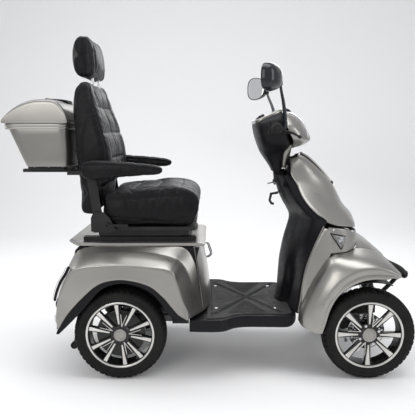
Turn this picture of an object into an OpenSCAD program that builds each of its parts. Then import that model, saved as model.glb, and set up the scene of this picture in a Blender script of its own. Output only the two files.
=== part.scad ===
/* [Wheels] */
// Outside diameter of every tyre
tyre_d = 400; // [390:2:404]
// Section width of every tyre
tyre_w = 80; // [72:2:82]
// Outside diameter of the rim flange
rim_d = 296; // [290:2:300]
// Pairs of spokes on each rear rim
rear_spoke_pairs = 5; // [4:1:6]
// Pairs of spokes on each front rim
front_spoke_pairs = 4; // [4:1:5]
// Radius of the front stub axles
stub_r = 8; // [7:0.5:9]
// Radius of the rear half shafts
half_shaft_r = 12.5; // [10:0.5:14]

/* [Layout] */
// Distance between the front and rear axles
wheelbase = 1073; // [1068:1:1078]
// Rear axle, measured from the middle of the scooter
rear_axle_x = -385; // [-388:1:-382]
// Middle of each wheel, measured from the centre line
wheel_y = 279; // [277:1:281]
// Distance from the kingpin to the middle of the front wheel
kingpin_offset = 50; // [48:1:52]

/* [Bodywork] */
// Half width over the fenders
fender_y = 345; // [342:1:348]
// Half width of the seat box
seat_box_y = 225; // [222:1:227]
// Wall of the moulded panels
wall = 4; // [3:0.5:4.5]
// Radius of the wheel opening in a rear fender
rear_arch_r = 257; // [252:1:260]
// Radius of the wheel opening in a front fender
front_arch_r = 228; // [226:1:232]
// Radius of the liner over each wheel
liner_r = 240; // [238:1:243]

/* [Deck] */
// Height of the deck floor
deck_top = 268; // [266:1:269]
// Half width of the deck beside the rider's heels
deck_rear_y = 320; // [310:1:325]
// Half width of the deck beside the rider's toes
deck_front_y = 262; // [255:1:265]

/* [Seat] */
// Half width of the seat cushions
seat_y = 232; // [226:1:232]
// Radius of the pins that the backrest and armrests turn on
seat_pin_r = 8; // [7:0.5:9]
// Spacing of the headrest posts
post_spacing = 120; // [100:5:140]

/* [Tiller] */
// Radius of the steering shaft
column_r = 12.5; // [11:0.5:13]
// Radius of the handlebar tube
bar_r = 11; // [10:0.5:11.5]
// Outer end of each grip, measured from the centre line
grip_end_y = 338; // [330:1:342]

/* [Box] */
// Half width of the luggage box at its rim
box_y = 210; // [195:5:215]

/* [Hidden] */
$fn = 64;

silver = [0.66, 0.64, 0.61];
black = [0.06, 0.06, 0.07];
dark_grey = [0.16, 0.16, 0.17];
steel = [0.5, 0.5, 0.52];
leather = [0.09, 0.09, 0.1];
run = 0.06;      // radial clearance of a running fit
gap = 0.5;       // gap between parts that only stand beside each other

axle_z = tyre_d / 2;
front_axle_x = rear_axle_x + wheelbase;
kingpin_y = wheel_y - kingpin_offset;
half_w = tyre_w / 2;
bead_r = rim_d / 2 - 6;
rear_arch = [rear_axle_x + 25, axle_z - 5];
front_arch = [front_axle_x + 25, axle_z + 38];

arm_len = 80;                                  // knuckle and pitman arms
pitman_x = front_axle_x - 100;
joint_low = [pitman_x, 0, 275];                // lower universal joint of the steering
column_top = [322, 0, 1079];
column_vec = column_top - joint_low;
column_len = norm(column_vec);
column_tilt = atan2(column_vec[0], column_vec[2]);
bar_x = 275;
bar_z = 1079;

swing_x = -150;                                // swing arm pivot
swing_z = 215;
shock_y = 200;

recline = [-480, 700];                         // backrest pivot, x and z
arm_pivot = [-505, 905];                       // armrest pivot, x and z
lid_pivot = [-593, 1102];                      // luggage box hinge, x and z
post_lean = 5;
roller = [-611, 111];                          // anti-tip shaft, x and z

// Outline in x and z, drawn out from y0 to y1
module prism(pts, y0, y1) {
    translate([0, y1, 0]) rotate([90, 0, 0]) linear_extrude(y1 - y0) polygon(pts);
}

// Outline in y and z, drawn out from x0 to x1
module across(pts, x0, x1) {
    translate([x0, 0, 0]) rotate([90, 0, 90]) linear_extrude(x1 - x0) polygon(pts);
}

module block(x0, x1, y0, y1, z0, z1) {
    translate([x0, y0, z0]) cube([x1 - x0, y1 - y0, z1 - z0]);
}

// Cylinder along Y
module ycyl(x, z, r, y0, y1) {
    translate([x, y0, z]) rotate([-90, 0, 0]) cylinder(r = r, h = y1 - y0);
}

// Cylinder along Z
module zcyl(x, y, r, z0, z1) {
    translate([x, y, z0]) cylinder(r = r, h = z1 - z0);
}

// Round bar from a to b
module bar(a, b, r) {
    v = b - a;
    translate(a) rotate([0, acos(v[2] / norm(v)), atan2(v[1], v[0])]) cylinder(r = r, h = norm(v));
}

module both() {
    children();
    mirror([0, 1, 0]) children();
}

// Keeps the left part, or mirrors it to the right
module side(s) {
    mirror([0, s < 0 ? 1 : 0, 0]) children();
}

function moved(pts, d) = [for (p = pts) p + d];
function scaled(pts, c, k) = [for (p = pts) c + (p - c) * k];
// Both halves of an outline that is symmetric about the centre line
function mirrored(pts) = concat(pts, [for (i = [len(pts) - 1:-1:0]) [-pts[i][0], pts[i][1]]]);

// Places a child, drawn along +Z from the lower universal joint, along the steering axis
module on_column() {
    translate(joint_low) rotate([0, column_tilt, 0]) children();
}

// ---------------------------------------------------------------- wheels

tyre_outer = [
    [bead_r, -30], [bead_r + 8, -31.5], [bead_r + 16, -(half_w - 2)], [bead_r + 26, -half_w],
    [axle_z - 18, -(half_w - 1)], [axle_z - 8, -(half_w - 6)], [axle_z - 2, -(half_w - 16)],
    [axle_z, -(half_w - 30)]
];
tyre_inner = [
    [bead_r, -22], [bead_r + 10, -25], [bead_r + 26, -(half_w - 8)],
    [axle_z - 18, -(half_w - 9)], [axle_z - 10, -(half_w - 18)], [axle_z - 9, -(half_w - 30)]
];

// The same points on the other side of the tyre, in reverse order
function flipped(pts) = [for (i = [len(pts) - 1:-1:0]) [pts[i][0], -pts[i][1]]];

module tyre(x) {
    outer = concat(tyre_outer, flipped(tyre_outer));
    inner = concat(tyre_inner, flipped(tyre_inner));
    profile = concat(outer, [for (i = [len(inner) - 1:-1:0]) inner[i]]);
    color(black) translate([x, wheel_y, axle_z]) rotate([-90, 0, 0])
        rotate_extrude($fn = 96) polygon(profile);
}

// Pairs of spokes, the first pair at an angle of turn
module spokes(pairs, turn, r0, r1) {
    for (i = [0:pairs - 1], j = [-1, 1])
        rotate([0, 0, i * 360 / pairs + j * 85 / pairs - turn])
            linear_extrude(16) polygon([[r0, -5], [r1, -8], [r1, 8], [r0, 5]]);
}

// Rim drawn about Z with its outer face towards +Z
module rim_body(pairs, turn) {
    rotate_extrude($fn = 96) polygon([
        [bead_r - 8, -36], [bead_r + 5.5, -36], [bead_r + 5.5, -33], [bead_r - 0.2, -32],
        [bead_r - 0.2, 32], [bead_r + 5.5, 33], [bead_r + 5.5, 36], [bead_r - 8, 36]
    ]);
    translate([0, 0, 14]) spokes(pairs, turn, 20, bead_r - 4);
    translate([0, 0, -12]) cylinder(r = 26, h = 48);
}

module front_rim(s) {
    color(steel) side(s) translate([front_axle_x, wheel_y, axle_z]) rotate([-90, 0, 0])
        difference() {
            union() {
                rim_body(front_spoke_pairs, 68);
                translate([0, 0, -21]) cylinder(r = 26, h = 10);
                translate([0, 0, -21]) cylinder(r = 80, h = 4);
            }
            translate([0, 0, -22]) cylinder(r = stub_r + run, h = 54.5);
        }
}

// Rear rim with the half shaft that drives it, which ends inside the hub
module rear_rim(s) {
    color(steel) side(s) {
        translate([rear_axle_x, wheel_y, axle_z]) rotate([-90, 0, 0]) difference() {
            rim_body(rear_spoke_pairs, 79);
            translate([0, 0, -13]) cylinder(r = half_shaft_r + run, h = 34);
        }
        ycyl(rear_axle_x, axle_z, half_shaft_r, 130, wheel_y + 20.9);
    }
}

// ---------------------------------------------------------------- chassis

rail_top = 258;
tray_z = 290;

module frame() {
    color(dark_grey) difference() {
        union() {
            both() block(-122, 780, 50, 90, 222, rail_top);
            for (x = [60, 240, 420]) block(x, x + 30, -60, 60, 226, 254);
            block(-122, -95, -180, 180, 222, rail_top);
            swing_brackets();
            steering_mounts();
        }
        zcyl(pitman_x, 0, 12 + run, 150, 300);
        on_column() translate([0, 0, 40]) cylinder(r = column_r + run, h = 640);
    }
}

// Battery tray, seat plate and the arms of the anti-tip rollers
module seat_support() {
    color(dark_grey) {
        block(-350, -95, -180, 180, tray_z, tray_z + 6);
        both() block(-350, -95, 174, 180, tray_z, 566);
        both() block(-122, -95, 150, 180, rail_top, tray_z + 4);
        block(-560, -60, -180, 180, 562, 570);
        both() block(-415, -355, 170, 218, 562, 570);
        both() anti_tip_bracket();
    }
}

module swing_brackets() {
    both() {
        block(-170, -95, 98, 110, 196, 240);
        block(-170, -95, 150, 162, 196, 240);
    }
    ycyl(swing_x, swing_z, 10, -166, 166);
}

module front_axle() {
    color(dark_grey) {
        block(front_axle_x - 18, front_axle_x + 18, -198, 198, 184, 216);
        both() {
            block(front_axle_x - 18, front_axle_x + 18, 50, 90, 210, 222);
            block(front_axle_x - 12, front_axle_x + 12, 194, 206, 145, 255);
            for (z = [145, 243]) {
                block(front_axle_x - 12, front_axle_x + 12, 200, kingpin_y, z, z + 12);
                zcyl(front_axle_x, kingpin_y, 15, z, z + 12);
            }
            zcyl(front_axle_x, kingpin_y, 8, 145, 255);
        }
    }
}

module steering_mounts() {
    block(pitman_x - 28, pitman_x + 28, -60, 60, 226, 246);
    zcyl(pitman_x, 0, 22, 178, 246);
    on_column() translate([0, 0, 62]) cylinder(r = 19, h = 580);
    both() prism([[538, 240], [632, 240], [560, 460], [512, 460]], 17, 24);
}

module anti_tip_bracket() {
    bar([-546, 171, 563], [roller[0], 180, roller[1]], 9);
    ycyl(roller[0], roller[1], 5, 174, 216);
}

module deck_pan() {
    left = [[-88, deck_rear_y - 4], [30, deck_rear_y], [60, deck_rear_y - 6],
        [110, deck_front_y + 8], [160, deck_front_y - 4], [350, deck_front_y],
        [386, deck_front_y - 40]];
    shape = concat(left, flipped(left));
    inner = moved(left, [-5, -5]);
    color(black) difference() {
        translate([0, 0, 212]) linear_extrude(deck_top - 212) polygon(shape);
        translate([0, 0, 211]) linear_extrude(deck_top - 217)
            polygon(concat(inner, flipped(inner)));
        block(340, 400, -100, 100, 200, 262.5);
    }
}

module deck_mat() {
    edge = [[-16, deck_rear_y - 20], [28, deck_rear_y - 20], [104, deck_front_y - 8],
        [160, deck_front_y - 20], [334, deck_front_y - 18]];
    shape = concat(edge, flipped(edge));
    color(dark_grey) difference() {
        translate([0, 0, deck_top]) linear_extrude(5.5) polygon(shape);
        for (x = [30, 300], y = [-170, 170]) zcyl(x, y, 9, deck_top + 2, 290);
    }
}

// ---------------------------------------------------------------- rear body

box_outline = [
    [-646, 278], [-643, 355], [-621, 422], [-585, 505], [-573, 552], [-610, 598], [-596, 601],
    [-570, 588], [-40, 588], [-18, 584], [-24, 570], [-66, 550], [-24, 290], [-22, 278]
];
rear_fender_outline = [
    [-649, 216], [-649, 253], [-643, 355], [-621, 422], [-569, 510], [-378, 516], [-164, 488],
    [-100, 420], [-62, 330], [-50, 278], [-150, 278], [-150, 216]
];

module rear_body() {
    color(silver) difference() {
        prism(box_outline, -seat_box_y, seat_box_y);
        prism(moved(scaled(box_outline, [-330, 278], 0.985), [0, -1]),
            -seat_box_y + wall, seat_box_y - wall);
    }
}

module rear_fenders() {
    color(silver) both() difference() {
        prism(rear_fender_outline, seat_box_y, fender_y);
        prism(moved(scaled(rear_fender_outline, [-360, 216], 0.985), [0, -1]),
            seat_box_y - 1, fender_y - wall);
        ycyl(rear_arch[0], rear_arch[1], rear_arch_r, fender_y - 60, fender_y + 10);
    }
}

// Curved liner over a wheel, between two heights on each side of the axle
module liner(x, low_rear, low_front, y0, y1, reach_front) {
    difference() {
        ycyl(x, axle_z, liner_r + 3, y0, y1);
        ycyl(x, axle_z, liner_r, y0 - 1, y1 + 1);
        block(x - 300, x, y0 - 1, y1 + 1, -100, low_rear);
        block(x - 1, x + 300, y0 - 1, y1 + 1, -100, low_front);
        block(x + reach_front, x + 300, y0 - 1, y1 + 1, -100, 500);
    }
}

module wheel_arch_liners() {
    color(black) both() {
        liner(rear_axle_x, 310, 300, seat_box_y + 6, fender_y - wall - 2, 299);
        liner(front_axle_x, 255, 300, 196, fender_y - wall - 2, 82);
    }
}

module tail_lamps() {
    color([0.6, 0.05, 0.05]) both() {
        prism([[-649.5, 250], [-646.5, 306], [-653, 306], [-657, 250]], 250, 335);
        translate([-655, 290, 336]) rotate([0, 93, 0]) cylinder(r = 16, h = 6);
    }
}

module batteries() {
    color(dark_grey) for (x = [-345, -222]) block(x, x + 118, -170, 170, tray_z + 6.5, 470);
}

// ---------------------------------------------------------------- front body

shield_low = [
    [339, 276], [337, 475], [357, 577], [372, 640], [384, 690], [504, 690], [483, 646],
    [442, 568], [406, 443], [388, 290], [388, 276]
];
shield_high = [
    [386, 688], [344, 716], [303, 876], [348, 890], [357, 868], [381, 824], [424, 738], [440, 688]
];
cowl_front = [
    [408, 958], [425, 967], [466, 939], [572, 826], [618, 740], [656, 696], [674, 654], [679, 621],
    [673, 604]
];
cowl_back = [[450, 590], [490, 648], [512, 684], [430, 744], [390, 828], [374, 880], [396, 930]];
cowl_half = [[232, 580], [232, 660], [215, 700], [160, 745], [110, 830], [75, 930], [55, 980]];
hood_front = [[500, 540], [560, 566], [673, 592], [801, 513], [817, 491], [769, 466]];
hood_back = [[700, 455], [500, 455]];
front_fender_outline = [
    [392, 247], [396, 298], [431, 399], [472, 466], [491, 521], [516, 574], [609, 548], [706, 540],
    [776, 509], [800, 480], [788, 453], [713, 300], [560, 200], [475, 214], [425, 231]
];

module leg_shield() {
    color(black) difference() {
        union() {
            prism(shield_low, -250, 250);
            prism(shield_high, -85, 85);
        }
        prism(concat(moved([for (i = [0:4]) shield_low[i]], [6, -6]), [[600, 684], [600, 270]]),
            -245, 245);
        block(360, 600, -80, 80, 600, 712);
        prism([[392, 680], [351, 718], [310, 868], [420, 960], [520, 680]], -80, 80);
    }
}

module front_cowl() {
    inner = concat(moved(cowl_front, [-5, -5]), [[660, 500], [250, 500], [250, 953]]);
    thin = [for (p = cowl_half) [p[0] - wall, p[1] - 8]];
    color(silver) difference() {
        intersection() {
            prism(concat(cowl_front, cowl_back), -240, 240);
            across(mirrored(cowl_half), 300, 800);
        }
        intersection() {
            prism(inner, -240, 240);
            across(concat([[228, 400]], thin, [for (i = [6:-1:0]) [-thin[i][0], thin[i][1]]],
                [[-228, 400]]), 200, 900);
        }
    }
}

module nose_hood() {
    color(silver) difference() {
        prism(concat(hood_front, hood_back), -186, 186);
        prism(concat(moved(hood_front, [-4, -5]), [[765, 400], [490, 400]]), -182, 182);
        block(490, 536, -30, 30, 440, 570);
    }
}

module front_fenders() {
    color(silver) both() difference() {
        prism(front_fender_outline, 192, fender_y);
        prism(scaled(front_fender_outline, [620, 215], 0.982), 191, fender_y - wall);
        ycyl(front_arch[0], front_arch[1], front_arch_r, fender_y - 20, fender_y + 10);
        block(440, 790, 191, fender_y - wall, 190, 250);
        ycyl(front_axle_x, axle_z, liner_r, 191, fender_y - wall);
    }
}

// Turn lamps on the sides and the headlamp under the nose
module front_lamps() {
    color([0.9, 0.9, 0.92]) {
        both() prism([[526, 640], [600, 622], [560, 592]], 232 + gap, 240);
        prism([[804, 514], [819.5, 491], [771, 465], [773, 461], [824, 489], [808, 516]], -70, 70);
    }
}

module front_bumper() {
    color(black) {
        bar([866, -205, 435], [866, 205, 435], 13);
        both() {
            translate([866, 205, 435]) sphere(r = 13);
            bar([866, 150, 435], [765, 75, 266], 11);
            bar([866, 200, 437], [812, 210, 500], 10);
        }
    }
}

module bag_hook() {
    color(steel) prism([[324.8, 788], [324.8, 776], [296, 772], [290, 746], [297, 735], [306, 733],
        [304, 723], [290, 725], [279, 743], [286, 780]], -5, 5);
}

lock_at = [313.6, 34, 830];
lock_tilt = -104;

module ignition_lock() {
    color(steel) translate(lock_at) rotate([0, lock_tilt, 0]) difference() {
        translate([0, 0, 0.6]) cylinder(r = 15, h = 9);
        translate([0, 0, 3]) cylinder(r = 8 + run, h = 12);
    }
}

module key() {
    color(dark_grey) translate(lock_at) rotate([0, lock_tilt, 0]) {
        translate([0, 0, 3.5]) cylinder(r = 8, h = 8);
        translate([-1.5, -9, 11]) cube([3, 18, 26]);
    }
}

module charge_port() {
    color(black) difference() {
        ycyl(345, 830, 15, -97, -85.3);
        ycyl(345, 830, 9, -98, -89);
    }
}

// ---------------------------------------------------------------- suspension and steering

module transaxle() {
    color(dark_grey) difference() {
        union() {
            ycyl(rear_axle_x, axle_z, 26, -214, 214);
            ycyl(rear_axle_x, axle_z, 66, -48, 48);
            translate([rear_axle_x, 0, axle_z]) rotate([0, 90, 0]) cylinder(r = 44, h = 190);
            both() {
                block(rear_axle_x, swing_x, 116, 144, swing_z - 15, swing_z + 13);
                ycyl(swing_x, swing_z, 19, 112, 148);
                ycyl(rear_axle_x, 246, 7, 184, 216);
                block(rear_axle_x - 5, rear_axle_x + 5, 205, 214, 205, 246);
            }
        }
        both() ycyl(rear_axle_x, axle_z, half_shaft_r + run, 128, 220);
        ycyl(swing_x, swing_z, 10 + run, -150, 150);
        both() ycyl(rear_axle_x, 246, 7.5, 193.5, 204.5);
    }
}

module rear_shock_rods() {
    color(steel) both() difference() {
        union() {
            ycyl(rear_axle_x, 246, 13, 195, 203);
            zcyl(rear_axle_x, shock_y - 1, 6, 256, 400);
            zcyl(rear_axle_x, shock_y - 1, 17, 264, 268);
        }
        ycyl(rear_axle_x, 246, 7.2, 190, 210);
    }
}

module rear_shock_tubes() {
    color(dark_grey) both() difference() {
        zcyl(rear_axle_x, shock_y - 1, 11.5, 330, 561.5);
        zcyl(rear_axle_x, shock_y - 1, 8.4, 320, 430);
    }
    color(dark_grey) both() difference() {
        zcyl(rear_axle_x, shock_y - 1, 17, 440, 444);
        zcyl(rear_axle_x, shock_y - 1, 10, 430, 450);
    }
}

module rear_springs() {
    turns = 9;
    pitch = (440 - 268 - 5.4) / (turns - 1);
    color(steel) both() for (i = [0:turns - 1])
        translate([rear_axle_x, shock_y - 1, 270.7 + i * pitch])
            rotate_extrude() translate([14.5, 0]) circle(r = 2.2);
}

module knuckle(s) {
    color(dark_grey) side(s) difference() {
        union() {
            zcyl(front_axle_x, kingpin_y, 15, 163, 237);
            ycyl(front_axle_x, axle_z, stub_r, kingpin_y + 12, wheel_y + 32);
            ycyl(front_axle_x, axle_z, 14, kingpin_y + 10, kingpin_y + 26);
            block(front_axle_x - arm_len, front_axle_x, kingpin_y - 8, kingpin_y + 8, 163, 173);
            zcyl(front_axle_x - arm_len, kingpin_y, 12, 163, 173);
            translate([front_axle_x - 688, 0, axle_z - 200])
                prism([[672, 200], [704, 200], [700, 226], [676, 232], [655, 240], [655, 276],
                    [622, 276], [622, 240]], kingpin_y + 13, kingpin_y + 23);
            block(front_axle_x - 66, front_axle_x - 33, kingpin_y + 22, kingpin_y + 42, 240, 276);
        }
        zcyl(front_axle_x, kingpin_y, 8 + run, 150, 250);
        zcyl(front_axle_x - arm_len, kingpin_y, 6 + run, 150, 250);
        ycyl(front_axle_x, axle_z, 82, wheel_y - 22, wheel_y - 16);
    }
    color(dark_grey) side(s)
        ycyl(front_axle_x, axle_z, stub_r, wheel_y - 30, wheel_y - 10);
}

module pitman_arm() {
    color(steel) difference() {
        union() {
            zcyl(pitman_x, 0, 12, 160, 256);
            zcyl(pitman_x, 0, 16, 160, 172);
            block(pitman_x - arm_len, pitman_x, -12, 12, 160, 172);
            zcyl(pitman_x - arm_len, 0, 12, 160, 172);
        }
        zcyl(pitman_x - arm_len, 0, 6 + run, 150, 200);
    }
}

module track_rod() {
    rod_x = front_axle_x - arm_len;
    color(steel) {
        ycyl(rod_x, 146, 8, -238, 238);
        block(pitman_x - arm_len, rod_x, -12, 12, 140, 152);
        zcyl(pitman_x - arm_len, 0, 12, 140, 152);
        zcyl(pitman_x - arm_len, 0, 6, 146, 178);
        both() zcyl(rod_x, kingpin_y, 6, 146, 178);
    }
}

module anti_tip_rollers() {
    color(black) both() difference() {
        ycyl(roller[0], roller[1], 16, 191, 213);
        ycyl(roller[0], roller[1], 5 + run, 180, 220);
    }
}

// ---------------------------------------------------------------- tiller

dash_front_outline = [
    [284, 1134], [338, 1177], [370, 1154], [407, 1138], [475, 1022], [408, 993], [386, 1042],
    [300, 1118]
];
dash_rear_outline = [
    [211, 1083], [212, 1054], [240, 968], [290, 896], [346, 916], [348, 990], [383, 1040],
    [297, 1116], [282, 1131]
];
dash_half = [
    [85, 880], [96, 950], [150, 1030], [162, 1060], [162, 1108], [148, 1124], [75, 1180]
];

module dash_shell(outline, centre) {
    inner_half = [for (p = dash_half) [p[0] - wall, p[1]]];
    difference() {
        intersection() {
            prism(outline, -170, 170);
            across(mirrored(dash_half), 150, 500);
        }
        intersection() {
            prism(scaled(outline, centre, 0.93), -170, 170);
            across(mirrored(inner_half), 150, 500);
        }
        ycyl(bar_x, bar_z, bar_r + 1, -200, 200);
        block(bar_x - 20, 337, -28, 28, bar_z - 20, bar_z + 20);
        on_column() translate([0, 0, 600]) cylinder(r = column_r + 3, h = 260);
    }
}

module handlebar() {
    color(dark_grey) {
        ycyl(bar_x, bar_z, bar_r, -grip_end_y + 4, grip_end_y - 4);
        block(bar_x - 16, 332, -24, 24, bar_z - 17, bar_z + 17);
        on_column() translate([0, 0, 12]) cylinder(r = column_r, h = column_len - 12);
        both() difference() {
            block(252, 300, 172, 208, 1056, 1102);
            translate([250, 190, 1090]) rotate([0, 90, 0]) cylinder(r = 5.5, h = 8);
        }
    }
}

module dash_front() {
    color(silver) dash_shell(dash_front_outline, [385, 1085]);
}

module dash_rear() {
    color(black) dash_shell(dash_rear_outline, [300, 1020]);
}

module grip(y0) {
    difference() {
        union() {
            ycyl(bar_x, bar_z, 17, y0, grip_end_y - 4);
            ycyl(bar_x, bar_z, 22, grip_end_y - 8, grip_end_y);
        }
        ycyl(bar_x, bar_z, bar_r + run, y0 - 1, grip_end_y - 3.9);
    }
}

module left_grip() {
    color(black) grip(210);
}

module throttle_grip() {
    color(black) mirror([0, 1, 0]) grip(210);
}

module brake_lever(s) {
    color(dark_grey) side(s) {
        zcyl(318, 190, 8, 1058, 1074);
        bar([318, 190, 1066], [352, 232, 1062], 5);
        bar([352, 232, 1062], [366, 322, 1046], 5);
        translate([352, 232, 1062]) sphere(r = 5);
        translate([366, 322, 1046]) sphere(r = 8);
    }
}

module horn_button() {
    color([0.5, 0.1, 0.1]) translate([247.5, 190, 1090]) rotate([0, 90, 0]) cylinder(r = 5, h = 4);
    color([0.5, 0.1, 0.1]) translate([243, 190, 1090]) rotate([0, 90, 0]) cylinder(r = 7, h = 4.5);
}

stalk_base = [331, 150, 1131];
stalk_top = [293, 250, 1263];

module mirror_stalks() {
    pivot = stalk_top + [0, 0, -12];
    color(dark_grey) both() {
        bar(stalk_base, stalk_base + (pivot - stalk_base) * 0.12, 10);
        bar(stalk_base, pivot, 5);
        zcyl(stalk_top[0], stalk_top[1], 7, stalk_top[2] - 17, stalk_top[2] - 7.5);
        zcyl(stalk_top[0], stalk_top[1], 4, stalk_top[2] - 12, stalk_top[2] + 8);
    }
}

// Round head on an arm that turns about the pin of the stalk
module mirror_head(s) {
    color(black) side(s) difference() {
        union() {
            translate([243, 302, 1282]) rotate([0, 0, 30]) rotate([0, 90, 0])
                cylinder(r = 54, h = 18, center = true);
            bar([262, 276, 1275], stalk_top + [-2, 3, 2], 6);
            zcyl(stalk_top[0], stalk_top[1], 9, stalk_top[2] - 7, stalk_top[2] + 11);
        }
        zcyl(stalk_top[0], stalk_top[1], 4 + run, stalk_top[2] - 20, stalk_top[2] + 8.5);
    }
}

// ---------------------------------------------------------------- seat

cushion_outline = [
    [-458, 663], [-460, 812], [-345, 816], [-154, 834], [-80, 825], [-41, 792], [-40, 740],
    [-57, 663]
];
backrest_outline = [
    [-548, 704], [-485, 704], [-476, 838], [-430, 846], [-424, 900], [-428, 1000],
    [-452, 1090], [-487, 1200], [-503, 1275], [-524, 1288], [-576, 1253], [-583, 1142],
    [-570, 972], [-559, 874], [-551, 757]
];
headrest_outline = [
    [-588, 1322], [-596, 1382], [-582, 1446], [-548, 1486], [-514, 1468], [-498, 1390],
    [-500, 1330], [-510, 1298]
];
armrest_outline = [
    [-536, 947], [-400, 944], [-260, 934], [-205, 926], [-196, 914], [-215, 902], [-316, 883],
    [-417, 870], [-500, 866], [-530, 890]
];
rail_y = 158;

module seat_rails() {
    color(dark_grey) both() difference() {
        block(-560, -60, rail_y - 18, rail_y + 18, 588, 604);
        block(-561, -59, rail_y - 14, rail_y + 14, 591.5, 601.5);
        block(-561, -59, rail_y - 7, rail_y + 7, 600, 606);
    }
}

module seat_frame() {
    color(dark_grey) {
        both() {
            block(-490, -130, rail_y - 13, rail_y + 13, 592.5, 600.5);
            block(-490, -130, rail_y - 6, rail_y + 6, 600, 615);
            block(-490, -110, rail_y - 24, rail_y + 24, 612, 636);
            prism([[-510, 640], [-400, 640], [-430, 700], [-455, 724], [-498, 724], [-510, 700]],
                237, 243);
            block(-500, -420, 150, 243, 636, 642);
            ycyl(recline[0], recline[1], seat_pin_r, 219, 240);
        }
        for (x = [-480, -130]) block(x, x + 40, -180, 180, 612, 640);
        block(-470, -60, -215, 215, 640, 656);
    }
}

module seat_cushion() {
    color(leather) prism(cushion_outline, -seat_y, seat_y);
}

module back_frame() {
    color(dark_grey) {
        both() {
            difference() {
                prism([[-498, 684], [-466, 684], [-462, 720], [-490, 905], [-520, 925], [-524, 880]],
                    232.6, 236.2);
                ycyl(recline[0], recline[1], seat_pin_r + 0.3, 230, 240);
            }
            ycyl(arm_pivot[0], arm_pivot[1], seat_pin_r, 233, 262);
            block(-606, -512, 232.6, 236.2, 884, 900);
            block(-832, -604, 96, 126, 888, 902);
        }
        block(-606, -592, -236.2, 236.2, 884, 900);
        block(-800, -640, -150, 150, 900, 915);
    }
}

module backrest() {
    color(leather) difference() {
        prism(backrest_outline, -seat_y, seat_y);
        both() ycyl(recline[0], recline[1], seat_pin_r + run, 215, 240);
        both() post_line() translate([0, 0, -150]) cylinder(r = 6.3, h = 170);
    }
}

// Axis of the left headrest post, from the top of the backrest
module post_line() {
    translate([-522, post_spacing / 2, 1287]) rotate([0, -post_lean, 0]) children();
}

module headrest_posts() {
    color(steel) both() post_line() translate([0, 0, -125]) cylinder(r = 6, h = 165);
}

module headrest() {
    color(leather) difference() {
        prism(headrest_outline, -135, 135);
        both() post_line() translate([0, 0, -5]) cylinder(r = 6, h = 45);
    }
}

module armrest(s) {
    color(leather) side(s) difference() {
        prism(armrest_outline, 244, 296);
        ycyl(arm_pivot[0], arm_pivot[1], seat_pin_r + run, 243, 263);
    }
}

module seat_levers() {
    color(steel) {
        difference() {
            ycyl(-440, 668, 11, -252, -243.5);
            ycyl(-440, 668, 4, -253, -240);
        }
        block(-430, -350, -251, -245.5, 663, 673);
    }
}

// ---------------------------------------------------------------- luggage box

box_outline_low = [[-796, 916], [-604, 916], [-604, 1098], [-874, 1098]];
lid_outline = [
    [-886, 1104], [-604, 1104], [-604, 1136], [-641, 1194], [-662, 1205], [-745, 1208],
    [-800, 1190], [-850, 1150], [-886, 1118]
];

module box_base() {
    color(silver) {
        difference() {
            prism(box_outline_low, -box_y, box_y);
            prism(moved(scaled(box_outline_low, [-700, 1010], 0.975), [0, 0]), -box_y + 3, box_y - 3);
            block(-852, -609, -box_y + 3, box_y - 3, 1080, 1110);
        }
        ycyl(lid_pivot[0], lid_pivot[1], 3, -72, 72);
        both() block(-606, -592, 40, 50, 1092, 1102);
    }
}

module box_lid() {
    color(silver) difference() {
        union() {
            prism(lid_outline, -box_y, box_y);
            both() difference() {
                ycyl(lid_pivot[0], lid_pivot[1], 6.5, 52, 70);
                block(-604, -580, 50, 75, 1080, 1099);
            }
            both() block(-610, -594, 52, 70, 1105, 1108);
        }
        prism(moved(scaled(lid_outline, [-745, 1104], 0.97), [0, -1]), -box_y + 3, box_y - 3);
        ycyl(lid_pivot[0], lid_pivot[1], 3 + run, -75, 75);
    }
}

frame();
front_axle();
seat_support();
deck_pan();
deck_mat();
rear_body();
rear_fenders();
wheel_arch_liners();
tail_lamps();
batteries();
leg_shield();
front_cowl();
nose_hood();
front_fenders();
front_lamps();
front_bumper();
bag_hook();
ignition_lock();
key();
charge_port();
seat_rails();
rear_shock_tubes();
rear_springs();
rear_shock_rods();
transaxle();
tyre(rear_axle_x);  // rear_tyre_l
side(-1) tyre(rear_axle_x);  // rear_tyre_r
rear_rim(1);  // rear_rim_l
rear_rim(-1);  // rear_rim_r
tyre(front_axle_x);  // front_tyre_l
side(-1) tyre(front_axle_x);  // front_tyre_r
front_rim(1);  // front_rim_l
front_rim(-1);  // front_rim_r
knuckle(1);  // knuckle_l
knuckle(-1);  // knuckle_r
pitman_arm();
track_rod();
anti_tip_rollers();
handlebar();
dash_front();
dash_rear();
left_grip();
throttle_grip();
brake_lever(1);  // brake_lever_l
brake_lever(-1);  // brake_lever_r
horn_button();
mirror_stalks();
mirror_head(1);  // mirror_l
mirror_head(-1);  // mirror_r
seat_frame();
seat_cushion();
back_frame();
backrest();
headrest();
headrest_posts();
armrest(1);  // armrest_l
armrest(-1);  // armrest_r
box_base();
box_lid();
seat_levers();
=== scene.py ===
import math

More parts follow.
